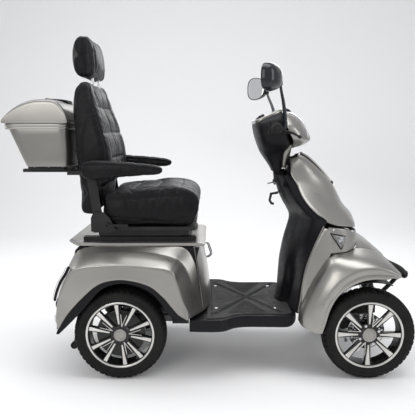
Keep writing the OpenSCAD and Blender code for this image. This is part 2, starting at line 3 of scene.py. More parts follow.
import bmesh
import bpy
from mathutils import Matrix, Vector


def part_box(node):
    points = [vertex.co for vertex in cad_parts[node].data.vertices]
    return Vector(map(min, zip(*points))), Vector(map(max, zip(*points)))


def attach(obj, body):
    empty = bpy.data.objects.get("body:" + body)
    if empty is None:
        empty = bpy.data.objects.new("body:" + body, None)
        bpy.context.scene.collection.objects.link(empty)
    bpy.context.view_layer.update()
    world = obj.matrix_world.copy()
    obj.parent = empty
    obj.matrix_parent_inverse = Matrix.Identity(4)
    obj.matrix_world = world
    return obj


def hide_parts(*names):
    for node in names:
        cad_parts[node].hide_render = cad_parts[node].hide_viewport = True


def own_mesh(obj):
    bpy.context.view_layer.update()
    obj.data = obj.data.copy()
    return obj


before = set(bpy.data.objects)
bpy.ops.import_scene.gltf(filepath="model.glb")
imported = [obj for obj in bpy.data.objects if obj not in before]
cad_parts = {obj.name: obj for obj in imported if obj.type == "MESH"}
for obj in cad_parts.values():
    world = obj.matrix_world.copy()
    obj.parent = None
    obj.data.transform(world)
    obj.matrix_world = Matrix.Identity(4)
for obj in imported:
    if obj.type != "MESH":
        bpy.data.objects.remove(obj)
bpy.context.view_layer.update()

MM = 0.001
UP = Vector((0, 0, 1))
FULL_TURN = 2 * math.pi
SIDES = (("l", 1), ("r", -1))    # tag, and the sign of y on that side
PANEL = 3.5                      # wall of a painted panel, in millimetres
LOOKS = {}                       # look: its material and the record's slot, see make_looks
BAR_Z = 1079                     # height of the handlebar's grips
TIP = 0.01                       # radius that closes a turned shape on its axis

VOXEL = 6                        # cushions: remesh size, in millimetres
PRESSURE = 4                     # cushions: cloth pressure
CLOTH_FRAMES = 20
PINNED = 0.45                    # nearness to a seam from which the skin is held


# ---------------------------------------------------------------- camera, light and floor

def make_camera():
    """The viewpoint of the photograph: level with the tiller, a little over two metres off."""
    data = bpy.data.cameras.new("camera")
    data.sensor_width = 36
    data.lens = 45.294
    data.shift_x = -0.00487
    camera = bpy.data.objects.new("camera", data)
    camera.location = (0, -2.454, 1.0716)
    camera.rotation_euler = (math.radians(90 - 8.39), 0, 0)
    bpy.context.scene.collection.objects.link(camera)
    bpy.context.scene.camera = camera


def softbox(name, place, target, size, power, tint=(1, 1, 1)):
    data = bpy.data.lights.new(name, "AREA")
    data.shape = "RECTANGLE"
    data.size, data.size_y = size
    data.energy = power
    data.color = tint
    lamp = bpy.data.objects.new(name, data)
    lamp.location = place
    aim = Vector(target) - Vector(place)
    lamp.rotation_euler = aim.to_track_quat("-Z", "Y").to_euler()
    bpy.context.scene.collection.objects.link(lamp)


def make_studio():
    softbox("top_light", (-0.1, -0.2, 3.3), (0, 0, 0.5), (3.4, 1.7), 62)
    softbox("front_light", (-1.6, -3.4, 2.2), (0, 0, 0.6), (1.6, 2.0), 32, (1, 0.98, 0.96))
    softbox("nose_light", (3.2, -1.4, 1.9), (0.4, 0, 0.6), (1.0, 2.4), 24)
    softbox("tail_light", (-3.2, 0.6, 2.0), (-0.4, 0, 0.7), (1.0, 2.4), 20)
    softbox("back_light", (0.8, 3.0, 2.4), (0, 0, 0.7), (2.4, 1.6), 26)
    world = bpy.data.worlds.new("studio")
    world.use_nodes = True
    sky = world.node_tree.nodes["Background"]
    sky.inputs["Color"].default_value = (0.86, 0.87, 0.9, 1)
    sky.inputs["Strength"].default_value = 0.62
    bpy.context.scene.world = world
    bpy.context.scene.view_settings.view_transform = "Standard"


def make_floor():
    """A pale sheet that runs level under the scooter and curves up behind it."""
    radius, reach, back, top, steps = 1.2, 7.0, 4.0, 5.0, 24
    profile = [(-reach, 0.0), (back - radius, 0.0)]
    for i in range(1, steps + 1):
        a = math.pi / 2 * i / steps
        profile.append((back - radius + radius * math.sin(a), radius - radius * math.cos(a)))
    profile.append((back, top))
    verts = [(x, y, z) for y, z in profile for x in (-reach, reach)]
    faces = [(2 * i, 2 * i + 1, 2 * i + 3, 2 * i + 2) for i in range(len(profile) - 1)]
    mesh = bpy.data.meshes.new("floor")
    mesh.from_pydata(verts, [], faces)
    mesh.shade_smooth()
    floor = bpy.data.objects.new("floor", mesh)
    bpy.context.scene.collection.objects.link(floor)
    n = Nodes("floor_paper", base=(0.93, 0.93, 0.93), rough=0.75)
    n.bump(n.noise(40, 3), 0.02, 0.001)
    mesh.materials.append(n.material)


# ---------------------------------------------------------------- materials

class Nodes:
    """A new material and short names for the nodes that it is built from."""

    def __init__(self, name, base, rough, **sockets):
        self.material = bpy.data.materials.new(name)
        self.material.use_nodes = True
        self.tree = self.material.node_tree
        self.shader = self.tree.nodes["Principled BSDF"]
        self.place = self.tree.nodes.new("ShaderNodeTexCoord").outputs["Object"]
        self.normal = None
        self.shader.inputs["Base Color"].default_value = (*base, 1)
        self.shader.inputs["Roughness"].default_value = rough
        for key, value in sockets.items():
            self.shader.inputs[key.replace("_", " ")].default_value = value

    def add(self, kind, links=(), **settings):
        node = self.tree.nodes.new("ShaderNode" + kind)
        for key, value in settings.items():
            setattr(node, key, value)
        for key, value in dict(links).items():
            if isinstance(value, bpy.types.NodeSocket):
                self.tree.links.new(value, node.inputs[key])
            else:
                node.inputs[key].default_value = value
        return node

    def noise(self, scale, detail, rough=0.5):
        inputs = {"Vector": self.place, "Scale": scale, "Detail": detail, "Roughness": rough}
        return self.add("TexNoise", inputs).outputs["Fac"]

    def cells(self, scale, feature="F1"):
        inputs = {"Vector": self.place, "Scale": scale}
        return self.add("TexVoronoi", inputs, feature=feature).outputs["Distance"]

    def waves(self, scale, direction):
        inputs = {"Vector": self.place, "Scale": scale}
        return self.add("TexWave", inputs, bands_direction=direction).outputs["Fac"]

    def spread(self, value, low, high, start=0.3, end=0.7):
        """value, mapped from start..end to low..high."""
        inputs = {"Value": value, "From Min": start, "From Max": end, "To Min": low,
                  "To Max": high}
        return self.add("MapRange", inputs).outputs[0]

    def maths(self, operation, a, b):
        return self.add("Math", {0: a, 1: b}, operation=operation).outputs[0]

    def rough(self, value, low, high):
        self.tree.links.new(self.spread(value, low, high), self.shader.inputs["Roughness"])

    def tint(self, value, a, b, start=0.3, end=0.7):
        """Colours the surface from a to b as value runs from start to end."""
        factor = self.spread(value, 0, 1, start, end)
        mix = self.add("Mix", data_type="RGBA")
        self.tree.links.new(factor, mix.inputs[0])
        mix.inputs[6].default_value = (*a, 1)
        mix.inputs[7].default_value = (*b, 1)
        self.tree.links.new(mix.outputs[2], self.shader.inputs["Base Color"])

    def bump(self, height, strength, distance):
        """Adds relief on top of the relief that is there already."""
        inputs = {"Height": height, "Strength": strength, "Distance": distance}
        if self.normal:
            inputs["Normal"] = self.normal
        self.normal = self.add("Bump", inputs).outputs[0]
        self.tree.links.new(self.normal, self.shader.inputs["Normal"])


def silver_paint(name="silver_paint", shade=1.0):
    """Metallic car paint: fine flakes under a clear coat, slightly uneven in tone. A shade below 1
    darkens the whole paint, for a copy that paints shade.
    """
    n = Nodes(name, base=(0.31, 0.3, 0.28), rough=0.3, Metallic=0.86, Coat_Weight=0.35,
              Coat_Roughness=0.1)
    dark = tuple(c * shade for c in (0.27, 0.262, 0.244))
    light = tuple(c * shade for c in (0.36, 0.35, 0.328))
    n.tint(n.maths("ADD", n.noise(3, 3), n.maths("MULTIPLY", n.cells(1400), 0.12)),
           dark, light, 0.35, 0.85)
    n.rough(n.noise(9, 3), 0.27, 0.35)
    n.bump(n.noise(900, 2), 0.02, 0.0001)
    return n.material


def black_plastic():
    """Moulded plastic with a fine leather-like grain, rubbed smoother in places."""
    base = (0.0045, 0.0045, 0.0055)
    n = Nodes("black_plastic", base=base, rough=0.45, Specular_IOR_Level=0.18)
    n.tint(n.noise(5, 5), base, tuple(c * 1.7 for c in base))
    n.rough(n.noise(22, 5, 0.6), 0.34, 0.55)
    n.bump(n.cells(900), 0.25, 0.0004)
    n.bump(n.noise(60, 3), 0.05, 0.0008)
    return n.material


def gloss_plastic(name, base):
    n = Nodes(name, base=base, rough=0.2, Specular_IOR_Level=0.4)
    n.tint(n.noise(9, 4), base, tuple(min(1, c * 1.35) for c in base))
    n.rough(n.noise(40, 5), 0.1, 0.22)
    n.bump(n.noise(120, 2), 0.03, 0.0005)
    return n.material


def powder_coat():
    n = Nodes("powder_coat", base=(0.010, 0.010, 0.011), rough=0.42, Specular_IOR_Level=0.3)
    n.tint(n.noise(11, 4), (0.008, 0.008, 0.008), (0.018, 0.018, 0.017))
    n.rough(n.noise(30, 5), 0.34, 0.5)
    n.bump(n.noise(700, 2), 0.25, 0.0004)
    return n.material


def leather(name="leather", base=(0.003, 0.003, 0.0035)):
    """Black seat leather: a cell grain, soft creases and worn, shinier crowns."""
    n = Nodes(name, base=base, rough=0.42, Specular_IOR_Level=0.17)
    n.tint(n.noise(7, 6, 0.6), base, tuple(c * 2.6 for c in base))
    n.rough(n.noise(16, 6, 0.6), 0.32, 0.52)
    n.bump(n.noise(26, 5, 0.6), 0.32, 0.003)
    n.bump(n.cells(620, "DISTANCE_TO_EDGE"), 0.5, 0.0006)
    return n.material


def tyre_rubber():
    n = Nodes("tyre_rubber", base=(0.006, 0.006, 0.006), rough=0.62, Specular_IOR_Level=0.2)
    n.tint(n.noise(10, 5), (0.004, 0.004, 0.004), (0.011, 0.011, 0.010))
    n.rough(n.noise(34, 5, 0.6), 0.5, 0.75)
    n.bump(n.noise(420, 3), 0.2, 0.0005)
    return n.material


def soft_rubber(name="soft_rubber", base=(0.008, 0.008, 0.008)):
    n = Nodes(name, base=base, rough=0.7, Specular_IOR_Level=0.25)
    n.tint(n.noise(13, 5), base, tuple(c * 1.8 for c in base))
    n.rough(n.noise(44, 4), 0.58, 0.8)
    n.bump(n.cells(1100), 0.3, 0.0004)
    return n.material


def bright_metal(name, base, low, high):
    """Polished metal, a little cloudy; its roughness runs from low to high."""
    n = Nodes(name, base=base, rough=low, Metallic=1.0)
    n.tint(n.noise(20, 4), tuple(c * 0.86 for c in base), base)
    n.rough(n.noise(1, 3), low, high)
    return n.material


def cast_metal():
    n = Nodes("cast_metal", base=(0.17, 0.17, 0.175), rough=0.5, Metallic=0.85)
    n.tint(n.noise(24, 5), (0.11, 0.11, 0.115), (0.24, 0.24, 0.245))
    n.rough(n.noise(60, 4), 0.42, 0.62)
    n.bump(n.noise(500, 4, 0.7), 0.5, 0.0006)
    return n.material


def lens(name, base):
    """Moulded lens: clear plastic over fine optical ribs."""
    n = Nodes(name, base=base, rough=0.06, Transmission_Weight=0.9, IOR=1.49)
    n.tint(n.noise(30, 3), tuple(c * 0.9 for c in base), base)
    n.rough(n.noise(50, 3), 0.04, 0.12)
    n.bump(n.waves(160, "X"), 0.35, 0.0012)
    return n.material


def mirror_glass():
    n = Nodes("mirror_glass", base=(0.86, 0.87, 0.88), rough=0.03, Metallic=1.0)
    n.tint(n.noise(6, 3), (0.82, 0.83, 0.84), (0.9, 0.9, 0.9))
    n.rough(n.noise(18, 5), 0.02, 0.07)
    n.bump(n.noise(8, 2), 0.01, 0.001)
    return n.material


def screen_glass():
    n = Nodes("screen_glass", base=(0.02, 0.025, 0.03), rough=0.08, Coat_Weight=1.0)
    n.tint(n.waves(90, "Y"), (0.016, 0.02, 0.024), (0.03, 0.036, 0.042), 0, 1)
    n.rough(n.noise(25, 4), 0.05, 0.14)
    n.bump(n.noise(300, 2), 0.02, 0.0003)
    return n.material


# ---------------------------------------------------------------- curves and surfaces, in mm

def spline(points, count):
    """count points, evenly spaced in parameter, on a smooth curve through the given ones."""
    pts = [Vector(p) for p in points]
    last = len(pts) - 1
    if last == 1:
        return [pts[0].lerp(pts[1], i / (count - 1)) for i in range(count)]
    t = [0.0]
    for a, b in zip(pts, pts[1:]):
        t.append(t[-1] + max((b - a).length, 1e-4) ** 0.6)
    slopes = []
    for i in range(last + 1):
        lo, hi = max(i - 1, 0), min(i + 1, last)
        slopes.append((pts[hi] - pts[lo]) / (t[hi] - t[lo]))
    out = []
    k = 0
    for i in range(count):
        at = t[-1] * i / (count - 1)
        while k < last - 1 and at > t[k + 1]:
            k += 1
        span = t[k + 1] - t[k]
        u = (at - t[k]) / span
        h1 = 2 * u ** 3 - 3 * u ** 2 + 1
        h2 = u ** 3 - 2 * u ** 2 + u
        h3 = 3 * u ** 2 - 2 * u ** 3
        h4 = u ** 3 - u ** 2
        out.append(pts[k] * h1 + slopes[k] * (h2 * span) + pts[k + 1] * h3
                   + slopes[k + 1] * (h4 * span))
    return out


def closed_spline(points, count):
    """Like spline, but round a closed ring, without repeating its first point."""
    ring = list(points)
    dense = spline(ring[-3:] + ring + ring[:3], 12 * (len(ring) + 5) + 1)
    start = min(range(len(dense) // 2), key=lambda i: (dense[i] - Vector(ring[0])).length)
    half = len(dense) // 2
    end = min(range(half, len(dense)), key=lambda i: (dense[i] - Vector(ring[0])).length)
    loop = dense[start:end + 1]
    far = [0.0]
    for a, b in zip(loop, loop[1:]):
        far.append(far[-1] + (b - a).length)
    out, k = [], 0
    for i in range(count):
        goal = far[-1] * i / count
        while far[k + 1] < goal:
            k += 1
        share = (goal - far[k]) / max(far[k + 1] - far[k], 1e-9)
        out.append(loop[k].lerp(loop[k + 1], share))
    return out


def stacked(rows, count):
    """count rows on smooth columns through the given rows."""
    return [list(row) for row in zip(*(spline(column, count) for column in zip(*rows)))]


def surface(rows, nu, nv):
    """A grid of nu by nv points on the smooth surface through a net of control points."""
    return stacked([spline(r, nv) for r in rows], nu)


def grid_mesh(rows, ring=False, caps=False):
    """Vertices and faces of a grid. ring joins the last point of each row to its first."""
    n = len(rows[0])
    verts = [p for r in rows for p in r]
    faces = []
    for i in range(len(rows) - 1):
        for j in range(n if ring else n - 1):
            k = (j + 1) % n
            faces.append((i * n + j, i * n + k, (i + 1) * n + k, (i + 1) * n + j))
    if caps:
        faces.append(tuple(range(n)))
        faces.append(tuple(range((len(rows) - 1) * n, len(rows) * n)))
    return verts, faces


def solid(rows):
    """A closed form from a stack of rings."""
    return grid_mesh(rows, ring=True, caps=True)


def flipped(points):
    return [(p[0], -p[1], p[2]) for p in points]


def whole(half):
    """A row drawn from the edge to the centre line, continued to the other edge."""
    return list(half) + flipped(half[:-1][::-1])


def frames_along(path):
    """A pair of directions across the path at each of its points, turning as little as can be."""
    tangents = []
    for i in range(len(path)):
        a, b = path[max(i - 1, 0)], path[min(i + 1, len(path) - 1)]
        tangents.append((b - a).normalized())
    side = tangents[0].orthogonal().normalized()
    out = []
    for t in tangents:
        side = (side - t * side.dot(t)).normalized()
        out.append((side, t.cross(side)))
    return out


def tube_mesh(path, radii, sides=14):
    """A round tube along a list of points; radii is one number or one for each point."""
    path = [Vector(p) for p in path]
    if not hasattr(radii, "__len__"):
        radii = [radii] * len(path)
    rows = []
    for p, r, (a, b) in zip(path, radii, frames_along(path)):
        turn = [FULL_TURN * i / sides for i in range(sides)]
        rows.append([p + a * (r * math.cos(t)) + b * (r * math.sin(t)) for t in turn])
    return grid_mesh(rows, ring=True, caps=True)


def rod(points, radii, count=24, sides=14):
    """A tube on a smooth curve, with its ends rounded over."""
    path = spline(points, count)
    if not hasattr(radii, "__len__"):
        radii = [radii, radii]
    widths = [v[0] for v in spline([(r, 0, 0) for r in radii], count)]
    for end, step in ((0, 1), (-1, -1)):
        out = (path[end] - path[end + step]).normalized()
        r = widths[end]
        extra = [(path[end] + out * (r * math.sin(a)), r * math.cos(a))
                 for a in (0.5, 1.0, 1.35, 1.52)]
        if end == 0:
            path = [p for p, _ in extra[::-1]] + path
            widths = [w for _, w in extra[::-1]] + widths
        else:
            path += [p for p, _ in extra]
            widths += [w for _, w in extra]
    return tube_mesh(path, widths, sides)


def lathe_mesh(profile, centre, axis=(0, 1, 0), steps=64, wobble=None):
    """Turns (radius, distance along axis) points about an axis through centre."""
    turn = UP.rotation_difference(Vector(axis))
    rows = []
    for i in range(steps):
        a = FULL_TURN * i / steps
        row = []
        for r, h in profile:
            if wobble:
                r, h = wobble(i, r, h)
            row.append(Vector(centre) + turn @ Vector((r * math.cos(a), r * math.sin(a), h)))
        rows.append(row)
    rows.append(rows[0])
    return grid_mesh(rows)


def ring_of(centre, half_x, half_y, power, count=48):
    """A rounded rectangle in plan. A higher power gives squarer corners."""
    out = []
    for i in range(count):
        a = FULL_TURN * i / count
        c, s = math.cos(a), math.sin(a)
        x = half_x * math.copysign(abs(c) ** (2 / power), c)
        y = half_y * math.copysign(abs(s) ** (2 / power), s)
        out.append((centre[0] + x, centre[1] + y, centre[2]))
    return out


def merged(*parts):
    """Several meshes as one list of vertices and one of faces."""
    verts, faces = [], []
    for v, f in parts:
        start = len(verts)
        verts += [tuple(p) for p in v]
        faces += [tuple(i + start for i in face) for face in f]
    return verts, faces


def slab_mesh(outline, y0, y1):
    """An outline in x and z, drawn out from y0 to y1."""
    near = [(x, y0, z) for x, z in outline]
    far = [(x, y1, z) for x, z in outline]
    return solid([near, far])


def piece(name, shape, look, body, *nodes, wall=0.0, edge=0.0, soft=40):
    """A finished piece from vertices in millimetres. wall thickens a surface, edge rounds its
    corners, and edges over soft degrees stay sharp."""
    material, slot = LOOKS[look]
    verts, faces = shape
    mesh = bpy.data.meshes.new(name)
    mesh.from_pydata([Vector(v) * MM for v in verts], [], faces)
    bm = bmesh.new()
    bm.from_mesh(mesh)
    bmesh.ops.remove_doubles(bm, verts=bm.verts, dist=2e-6)
    bmesh.ops.recalc_face_normals(bm, faces=bm.faces)
    bm.to_mesh(mesh)
    bm.free()
    mesh.shade_smooth()
    obj = bpy.data.objects.new(name, mesh)
    bpy.context.scene.collection.objects.link(obj)
    mesh.materials.append(material)
    if wall:
        solid = obj.modifiers.new("wall", "SOLIDIFY")
        solid.thickness = wall * MM
        solid.offset = 0
    if edge:
        bevel = obj.modifiers.new("edge", "BEVEL")
        bevel.width = edge * MM
        bevel.segments = 3
        bevel.limit_method = "ANGLE"
        bevel.angle_limit = math.radians(soft)
    if edge or wall:
        normals = obj.modifiers.new("normals", "WEIGHTED_NORMAL")
        normals.keep_sharp = True
    else:
        mesh.set_sharp_from_angle(angle=math.radians(soft))
    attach(obj, body)
    if nodes:
        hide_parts(*nodes)
    return obj


# ---------------------------------------------------------------- rear body

def rear_fender(tag, s):
    """Fender skin as stations along the wheel arch: lip, shoulder, inner crest and body side."""
    stations = [
        [(-641, 240), (-647, 240), (-652, 240), (-652, 240)],
        [(-608, 296), (-646, 304), (-652, 310), (-650, 312)],
        [(-568, 345), (-636, 372), (-644, 380), (-642, 384)],
        [(-522, 392), (-612, 434), (-621, 452), (-618, 462)],
        [(-480, 428), (-578, 492), (-584, 526), (-578, 549)],
        [(-432, 449), (-505, 513), (-505, 552), (-505, 571)],
        [(-356, 456), (-378, 518), (-380, 557), (-380, 572)],
        [(-256, 431), (-240, 507), (-226, 545), (-222, 571)],
        [(-196, 384), (-160, 489), (-138, 522), (-112, 566)],
        [(-160, 340), (-137, 437), (-98, 468), (-66, 505)],
        [(-130, 304), (-113, 360), (-68, 375), (-46, 388)],
        [(-94, 280), (-88, 283), (-46, 283), (-28, 283)],
    ]
    rows = []
    for lip, top, crest, side in stations:
        lip, top = Vector((lip[0], 344, lip[1])), Vector((top[0], 341, top[1]))
        down = (lip - top).normalized()
        crest = Vector((crest[0], 268, crest[1]))
        row = [
            lip + Vector((0, -14, 0)) - down * 3, lip + Vector((0, -7, 0)) + down * 2, lip,
            lip.lerp(top, 0.3) + Vector((0, 0.8, 0)), lip.lerp(top, 0.7) + Vector((0, 1, 0)),
            lip.lerp(top, 0.96) + Vector((0, 0.8, 0)), top.lerp(crest, 0.05),
            top.lerp(crest, 0.5) - down * 2, top.lerp(crest, 0.93) - down,
            crest.lerp(Vector((side[0], 231, side[1])), 0.12), Vector((side[0], 231, side[1])),
        ]
        rows.append([(p.x, p.y * s, p.z) for p in row])
    piece("rear_fender_" + tag, grid_mesh(surface(rows, 80, 64)), "silver", "chassis",
          "rear_fenders", wall=PANEL)


def rear_arch_band(tag, s):
    """Black band inside the fender's lip, which runs down into a mudflap behind the wheel."""
    hub = Vector((-356, 0, 200))
    rows = []
    for x, z, deep in ((-650, 217, 9), (-642, 240, 22), (-608, 296, 36), (-568, 345, 38),
                       (-522, 392, 34), (-480, 428, 28), (-432, 449, 22), (-356, 457, 18),
                       (-256, 432, 20), (-196, 385, 26), (-160, 341, 30), (-130, 305, 32),
                       (-96, 282, 32)):
        lip = Vector((x, 0, z))
        inner = lip + (hub - lip).normalized() * deep
        rows.append([(x, 341.5 * s, z), (inner.x, 340 * s, inner.z),
                     (inner.x, 334 * s, inner.z), (x, 326 * s, z)])
    piece("rear_arch_band_" + tag, grid_mesh(surface(rows, 70, 12)), "black", "chassis", wall=2)


def tail_strip(tag, s):
    """Dark strip between two bright lines along the rear edge of the fender."""
    line = [(-648, 366), (-638, 404), (-622, 442), (-598, 480), (-586, 504)]
    piece("tail_strip_" + tag, rod([(x - 3, 334 * s, z) for x, z in line], 6.5, 40), "black",
          "chassis")
    edges = [rod([(x - 5 + k * 8, (337 + k) * s, z - k * 4 - 1) for x, z in line], 1.8, 40, 8)
             for k in (-1, 1)]
    piece("tail_lines_" + tag, merged(*edges), "chrome", "chassis")


def rear_apron():
    """Painted panel across the back, between the fenders."""
    rows = []
    for x, z, bulge in ((-652, 244, 6), (-650, 316, 7), (-642, 384, 8), (-618, 462, 8),
                        (-592, 524, 6), (-584, 556, 4)):
        rows.append(whole([(x, 229.5, z), (x - bulge * 0.6, 150, z), (x - bulge, 70, z),
                           (x - bulge, 0, z)]))
    piece("rear_apron", grid_mesh(surface(rows, 30, 30)), "silver", "chassis", "rear_body",
          wall=PANEL)


def seat_box_front():
    """Bowed front wall of the seat box."""
    rows = []
    for z, edge, middle in ((571, -68, -38), (534, -62, -32), (485, -55, -22), (420, -46, -10),
                            (342, -35, 0), (282, -26, 4)):
        between = edge + (middle - edge) * 0.75
        rows.append(whole([(edge, 229.5, z), (between, 150, z), (middle - 1, 70, z),
                           (middle, 0, z)]))
    piece("seat_box_front", grid_mesh(surface(rows, 30, 30)), "silver", "chassis", wall=PANEL)


def seat_plinth():
    """Cap of the seat box with its upswept tail; the seat rails stand on it."""
    outline = [(-613, 596), (-611, 603), (-598, 602), (-572, 590), (-530, 587.4), (-60, 587.4),
               (-30, 586), (-17, 581), (-20, 572), (-40, 573), (-560, 573), (-590, 580)]
    fine = closed_spline([(x, 0, z) for x, z in outline], 90)
    rows = []
    for y, size in ((-229, 0.972), (-228, 0.985), (-224, 0.995), (-216, 1.0)):
        squash = size * 8 - 7 if y < -225 else 1
        rows.append([(-315 + (p.x + 315) * size, y, 580 + (p.z - 580) * squash) for p in fine])
    rows += [flipped(r) for r in rows[::-1]]
    piece("seat_plinth", solid(rows), "silver", "chassis", edge=1.5)


def inner_tub():
    """Black inner walls of the seat box, seen through the wheel arches."""
    outline = [(-640, 250), (-640, 380), (-612, 462), (-580, 545), (-574, 568), (-44, 568),
               (-60, 500), (-40, 390), (-28, 281), (-130, 281), (-150, 300), (-620, 300)]
    for tag, s in SIDES:
        y = sorted((222 * s, 227 * s))
        piece("inner_tub_" + tag, slab_mesh(outline, *y), "black", "chassis", edge=1.2)


def tail_lamps():
    """Slim lamps on the rear corners in bright frames, with a round reflector above each."""
    for tag, s in SIDES:
        for name, grow, deep, look in (("frame", 5, 0, "chrome"), ("glass", 0, 3, "red")):
            low, high, half = 262 - grow, 300 + grow, 34 + grow
            rows = []
            for depth, shrink in ((0, 0), (2 + deep, 0), (3.5 + deep, 2.5), (4 + deep, 7)):
                ring = []
                for p in ring_of((0, 0, 0), half - shrink, (high - low) / 2 - shrink, 5, 48):
                    z = (low + high) / 2 + p[1]
                    ring.append((-652 - depth, (292 + p[0]) * s, z))
                rows.append(ring)
            nodes = ("tail_lamps",) if (s == 1 and deep) else ()
            piece(f"tail_{name}_{tag}", solid(rows), look, "chassis", *nodes)
        centre = (-650, 292 * s, 338)
        piece("reflector_rim_" + tag, lathe_mesh([(19, 0), (19, 5), (17.5, 7), (16, 6), (16, 0)],
              centre, (-1, 0, 0.05), 48), "black", "chassis")
        piece("reflector_" + tag, lathe_mesh([(16, 3), (15, 5.5), (8, 7), (TIP, 7.4)], centre,
              (-1, 0, 0.05), 48), "red", "chassis")


def box_latch():
    """Bright pull handle on the front wall of the seat box, on the left."""
    path = [(-34, 205, 498), (-10, 205, 494), (0, 205, 470), (8, 205, 440), (-4, 205, 424),
            (-36, 205, 424)]
    shape = rod(path, [6, 7, 7.5, 7.5, 7, 6], 36)
    plate = rod([(-46, 205, 512), (-34, 205, 470), (-28, 205, 412)], 9, 20)
    piece("box_latch", merged(shape, plate), "chrome", "chassis")


# ---------------------------------------------------------------- deck

def deck_outline(inset=0.0):
    """Half of the deck's plan, from the rear corner to the middle of the toe end."""
    half = [(-86, 316), (-30, 320), (30, 320), (64, 312), (108, 276), (160, 262), (260, 262),
            (346, 262), (372, 244), (386, 214)]
    return [(x - (inset if x > 300 else 0), y - inset, 0) for x, y in half]


def deck_ring(inset, z):
    fine = spline(deck_outline(inset), 40)
    left = [(p.x, p.y, z) for p in fine]
    return left + flipped(left[::-1])


def deck_skirt():
    """Moulded deck with a rolled edge; its top dips to take the mat."""
    rows = [deck_ring(inset, z) for inset, z in ((6, 267.8), (3, 267.2), (0.6, 264), (0, 259),
                                                 (0, 240), (2, 224), (8, 214), (16, 212))]
    top = []
    for x in (-86, -30, 30, 64, 108, 160, 260, 346, 372, 384):
        w = deck_width(x, 5)
        top.append(whole([(x, w, 267.6), (x, w * 0.5, 267.6), (x, 0, 267.6)]))
    piece("deck_skirt", merged(grid_mesh(rows, ring=True), grid_mesh(top)), "black", "chassis",
          "deck_pan")


def deck_width(x, inset):
    """Half width of the deck at x, less an inset."""
    line = [(p[0], p[1]) for p in deck_outline()]
    if x <= line[0][0]:
        return line[0][1] - inset
    for (x0, y0), (x1, y1) in zip(line, line[1:]):
        if x <= x1:
            return y0 + (y1 - y0) * (x - x0) / (x1 - x0) - inset
    return line[-1][1] - inset


def deck_mat():
    """Rubber mat with a raised rim, crossing ribs and chevrons, and the bolts that hold it."""
    foot, field, rim_top, chevron, bar = 268.1, 270.8, 272.4, 272.4, 273.0
    rows = []
    ends = [(-12, 21, foot), (-11, 20, 271.4), (-8, 20, 272.6), (-4, 20, rim_top)]
    toes = [(360, 20, rim_top), (366, 20, rim_top), (368, 22, foot)]
    middle = [(x, 20, field) for x in (0, 60, 110, 160, 260, 340, 356)]
    for x, inset, z in ends + middle + toes:
        w = deck_width(x, inset)
        rows.append(whole([(x, w, foot), (x, w - 1, z + 0.4), (x, w - 3, max(z, 272.6)),
                           (x, w - 7, max(z, rim_top)), (x, w - 9, z), (x, w * 0.5, z),
                           (x, 0, z)]))
    parts = [grid_mesh(rows)]

    def rib(p, q, width, top):
        p, q = Vector((*p, 0)), Vector((*q, 0))
        across = (q - p).normalized().cross(UP)
        strip = []
        for side, z in ((-1, 270.6), (-0.6, top), (0.6, top), (1, 270.6)):
            strip.append([tuple(e + across * (side * width / 2) + Vector((0, 0, z)))
                          for e in (p, q)])
        return grid_mesh(strip)

    for s in (1, -1):
        for shift in (-9, 0, 9):
            parts.append(rib((24 + shift, 238 * s), (322 + shift, -222 * s), 4.5, 273.2))
        parts.append(rib((12, 262 * s), (12, 0), 6, bar))
        parts.append(rib((350, 214 * s), (350, 0), 6, bar))
        for i in range(11):
            x = 36 + i * 11
            reach = 196 - i * 19
            parts.append(rib((x, 0), (x + 10, reach * s * 0.55), 3.4, chevron))
            parts.append(rib((326 - i * 11, 0), (316 - i * 11, reach * s * 0.52), 3.4, chevron))
        for i in range(12):
            y = 232 - i * 14
            reach = 92 - i * 7
            parts.append(rib((172 - reach, y * s), (172, (y - 12) * s), 3.4, chevron))
            parts.append(rib((172, (y - 12) * s), (172 + reach, y * s), 3.4, chevron))
    piece("deck_mat_ribbed", merged(*parts), "mat", "chassis", "deck_mat", soft=30)
    heads = []
    for x in (30, 300):
        for y in (-170, 170):
            profile = [(9, 0), (9, 1.5), (7.5, 3.4), (4.2, 3.9), (4, 2.2), (TIP, 2.0)]
            heads.append(lathe_mesh(profile, (x, y, 271), (0, 0, 1), 32))
    piece("deck_bolts", merged(*heads), "steel", "chassis")


# ---------------------------------------------------------------- front body

def leg_shield():
    """Black shield with a tunnel for the column that narrows into the tiller's neck."""
    table = [  # z, half width, then x at the edge, the panel, the tunnel and the centre
        (276, 250, 388, 366, 330, 316), (292, 250, 391, 372, 334, 324),
        (330, 250, 396, 380, 338, 329), (400, 250, 404, 386, 342, 333),
        (475, 250, 415, 394, 348, 339), (560, 249, 443, 412, 366, 353),
        (620, 248, 468, 434, 384, 369), (660, 246, 487, 450, 396, 379),
        (686, 240, 500, 456, 394, 378), (712, 220, 462, 430, 378, 366),
        (742, 192, 434, 405, 358, 348), (788, 152, 410, 378, 336, 326),
        (838, 116, 388, 358, 318, 311), (870, 96, 362, 338, 308, 303),
    ]
    rows = []
    for z, w, edge, panel, tunnel, middle in table:
        fold = w * (0.34 + 0.5 * min(1, max(0, (z - 300) / 360)) ** 1.2)
        rows.append(whole([(edge + 3, w - 4, z), (edge, w, z), (edge - 5, w - 8, z),
                           ((edge + panel) / 2 - 7, (w + fold) / 2 - 2, z),
                           (panel - 6, fold, z), (panel - (panel - tunnel) * 0.75, w * 0.4, z)
                           if fold > w * 0.42 else (panel - (panel - tunnel) * 0.75,
                                                    fold - w * 0.04, z),
                           (tunnel - 1, w * 0.24, z), (middle, 0, z)]))
    piece("leg_shield_skin", grid_mesh(surface(rows, 80, 56)), "black", "chassis", "leg_shield",
          wall=4)


def shield_trim(tag, s):
    """Bead along the shield's edge, grey from the darker silver copy that paints shade."""
    edge = [(390, 251, 282), (399, 252, 350), (407, 252, 420), (421, 252, 490), (444, 251, 556),
            (470, 250, 618), (490, 248, 662)]
    piece("shield_bead_" + tag, rod([(x, y * s, z) for x, y, z in edge], 3.2, 50), "silver_painted_shade",
          "chassis")


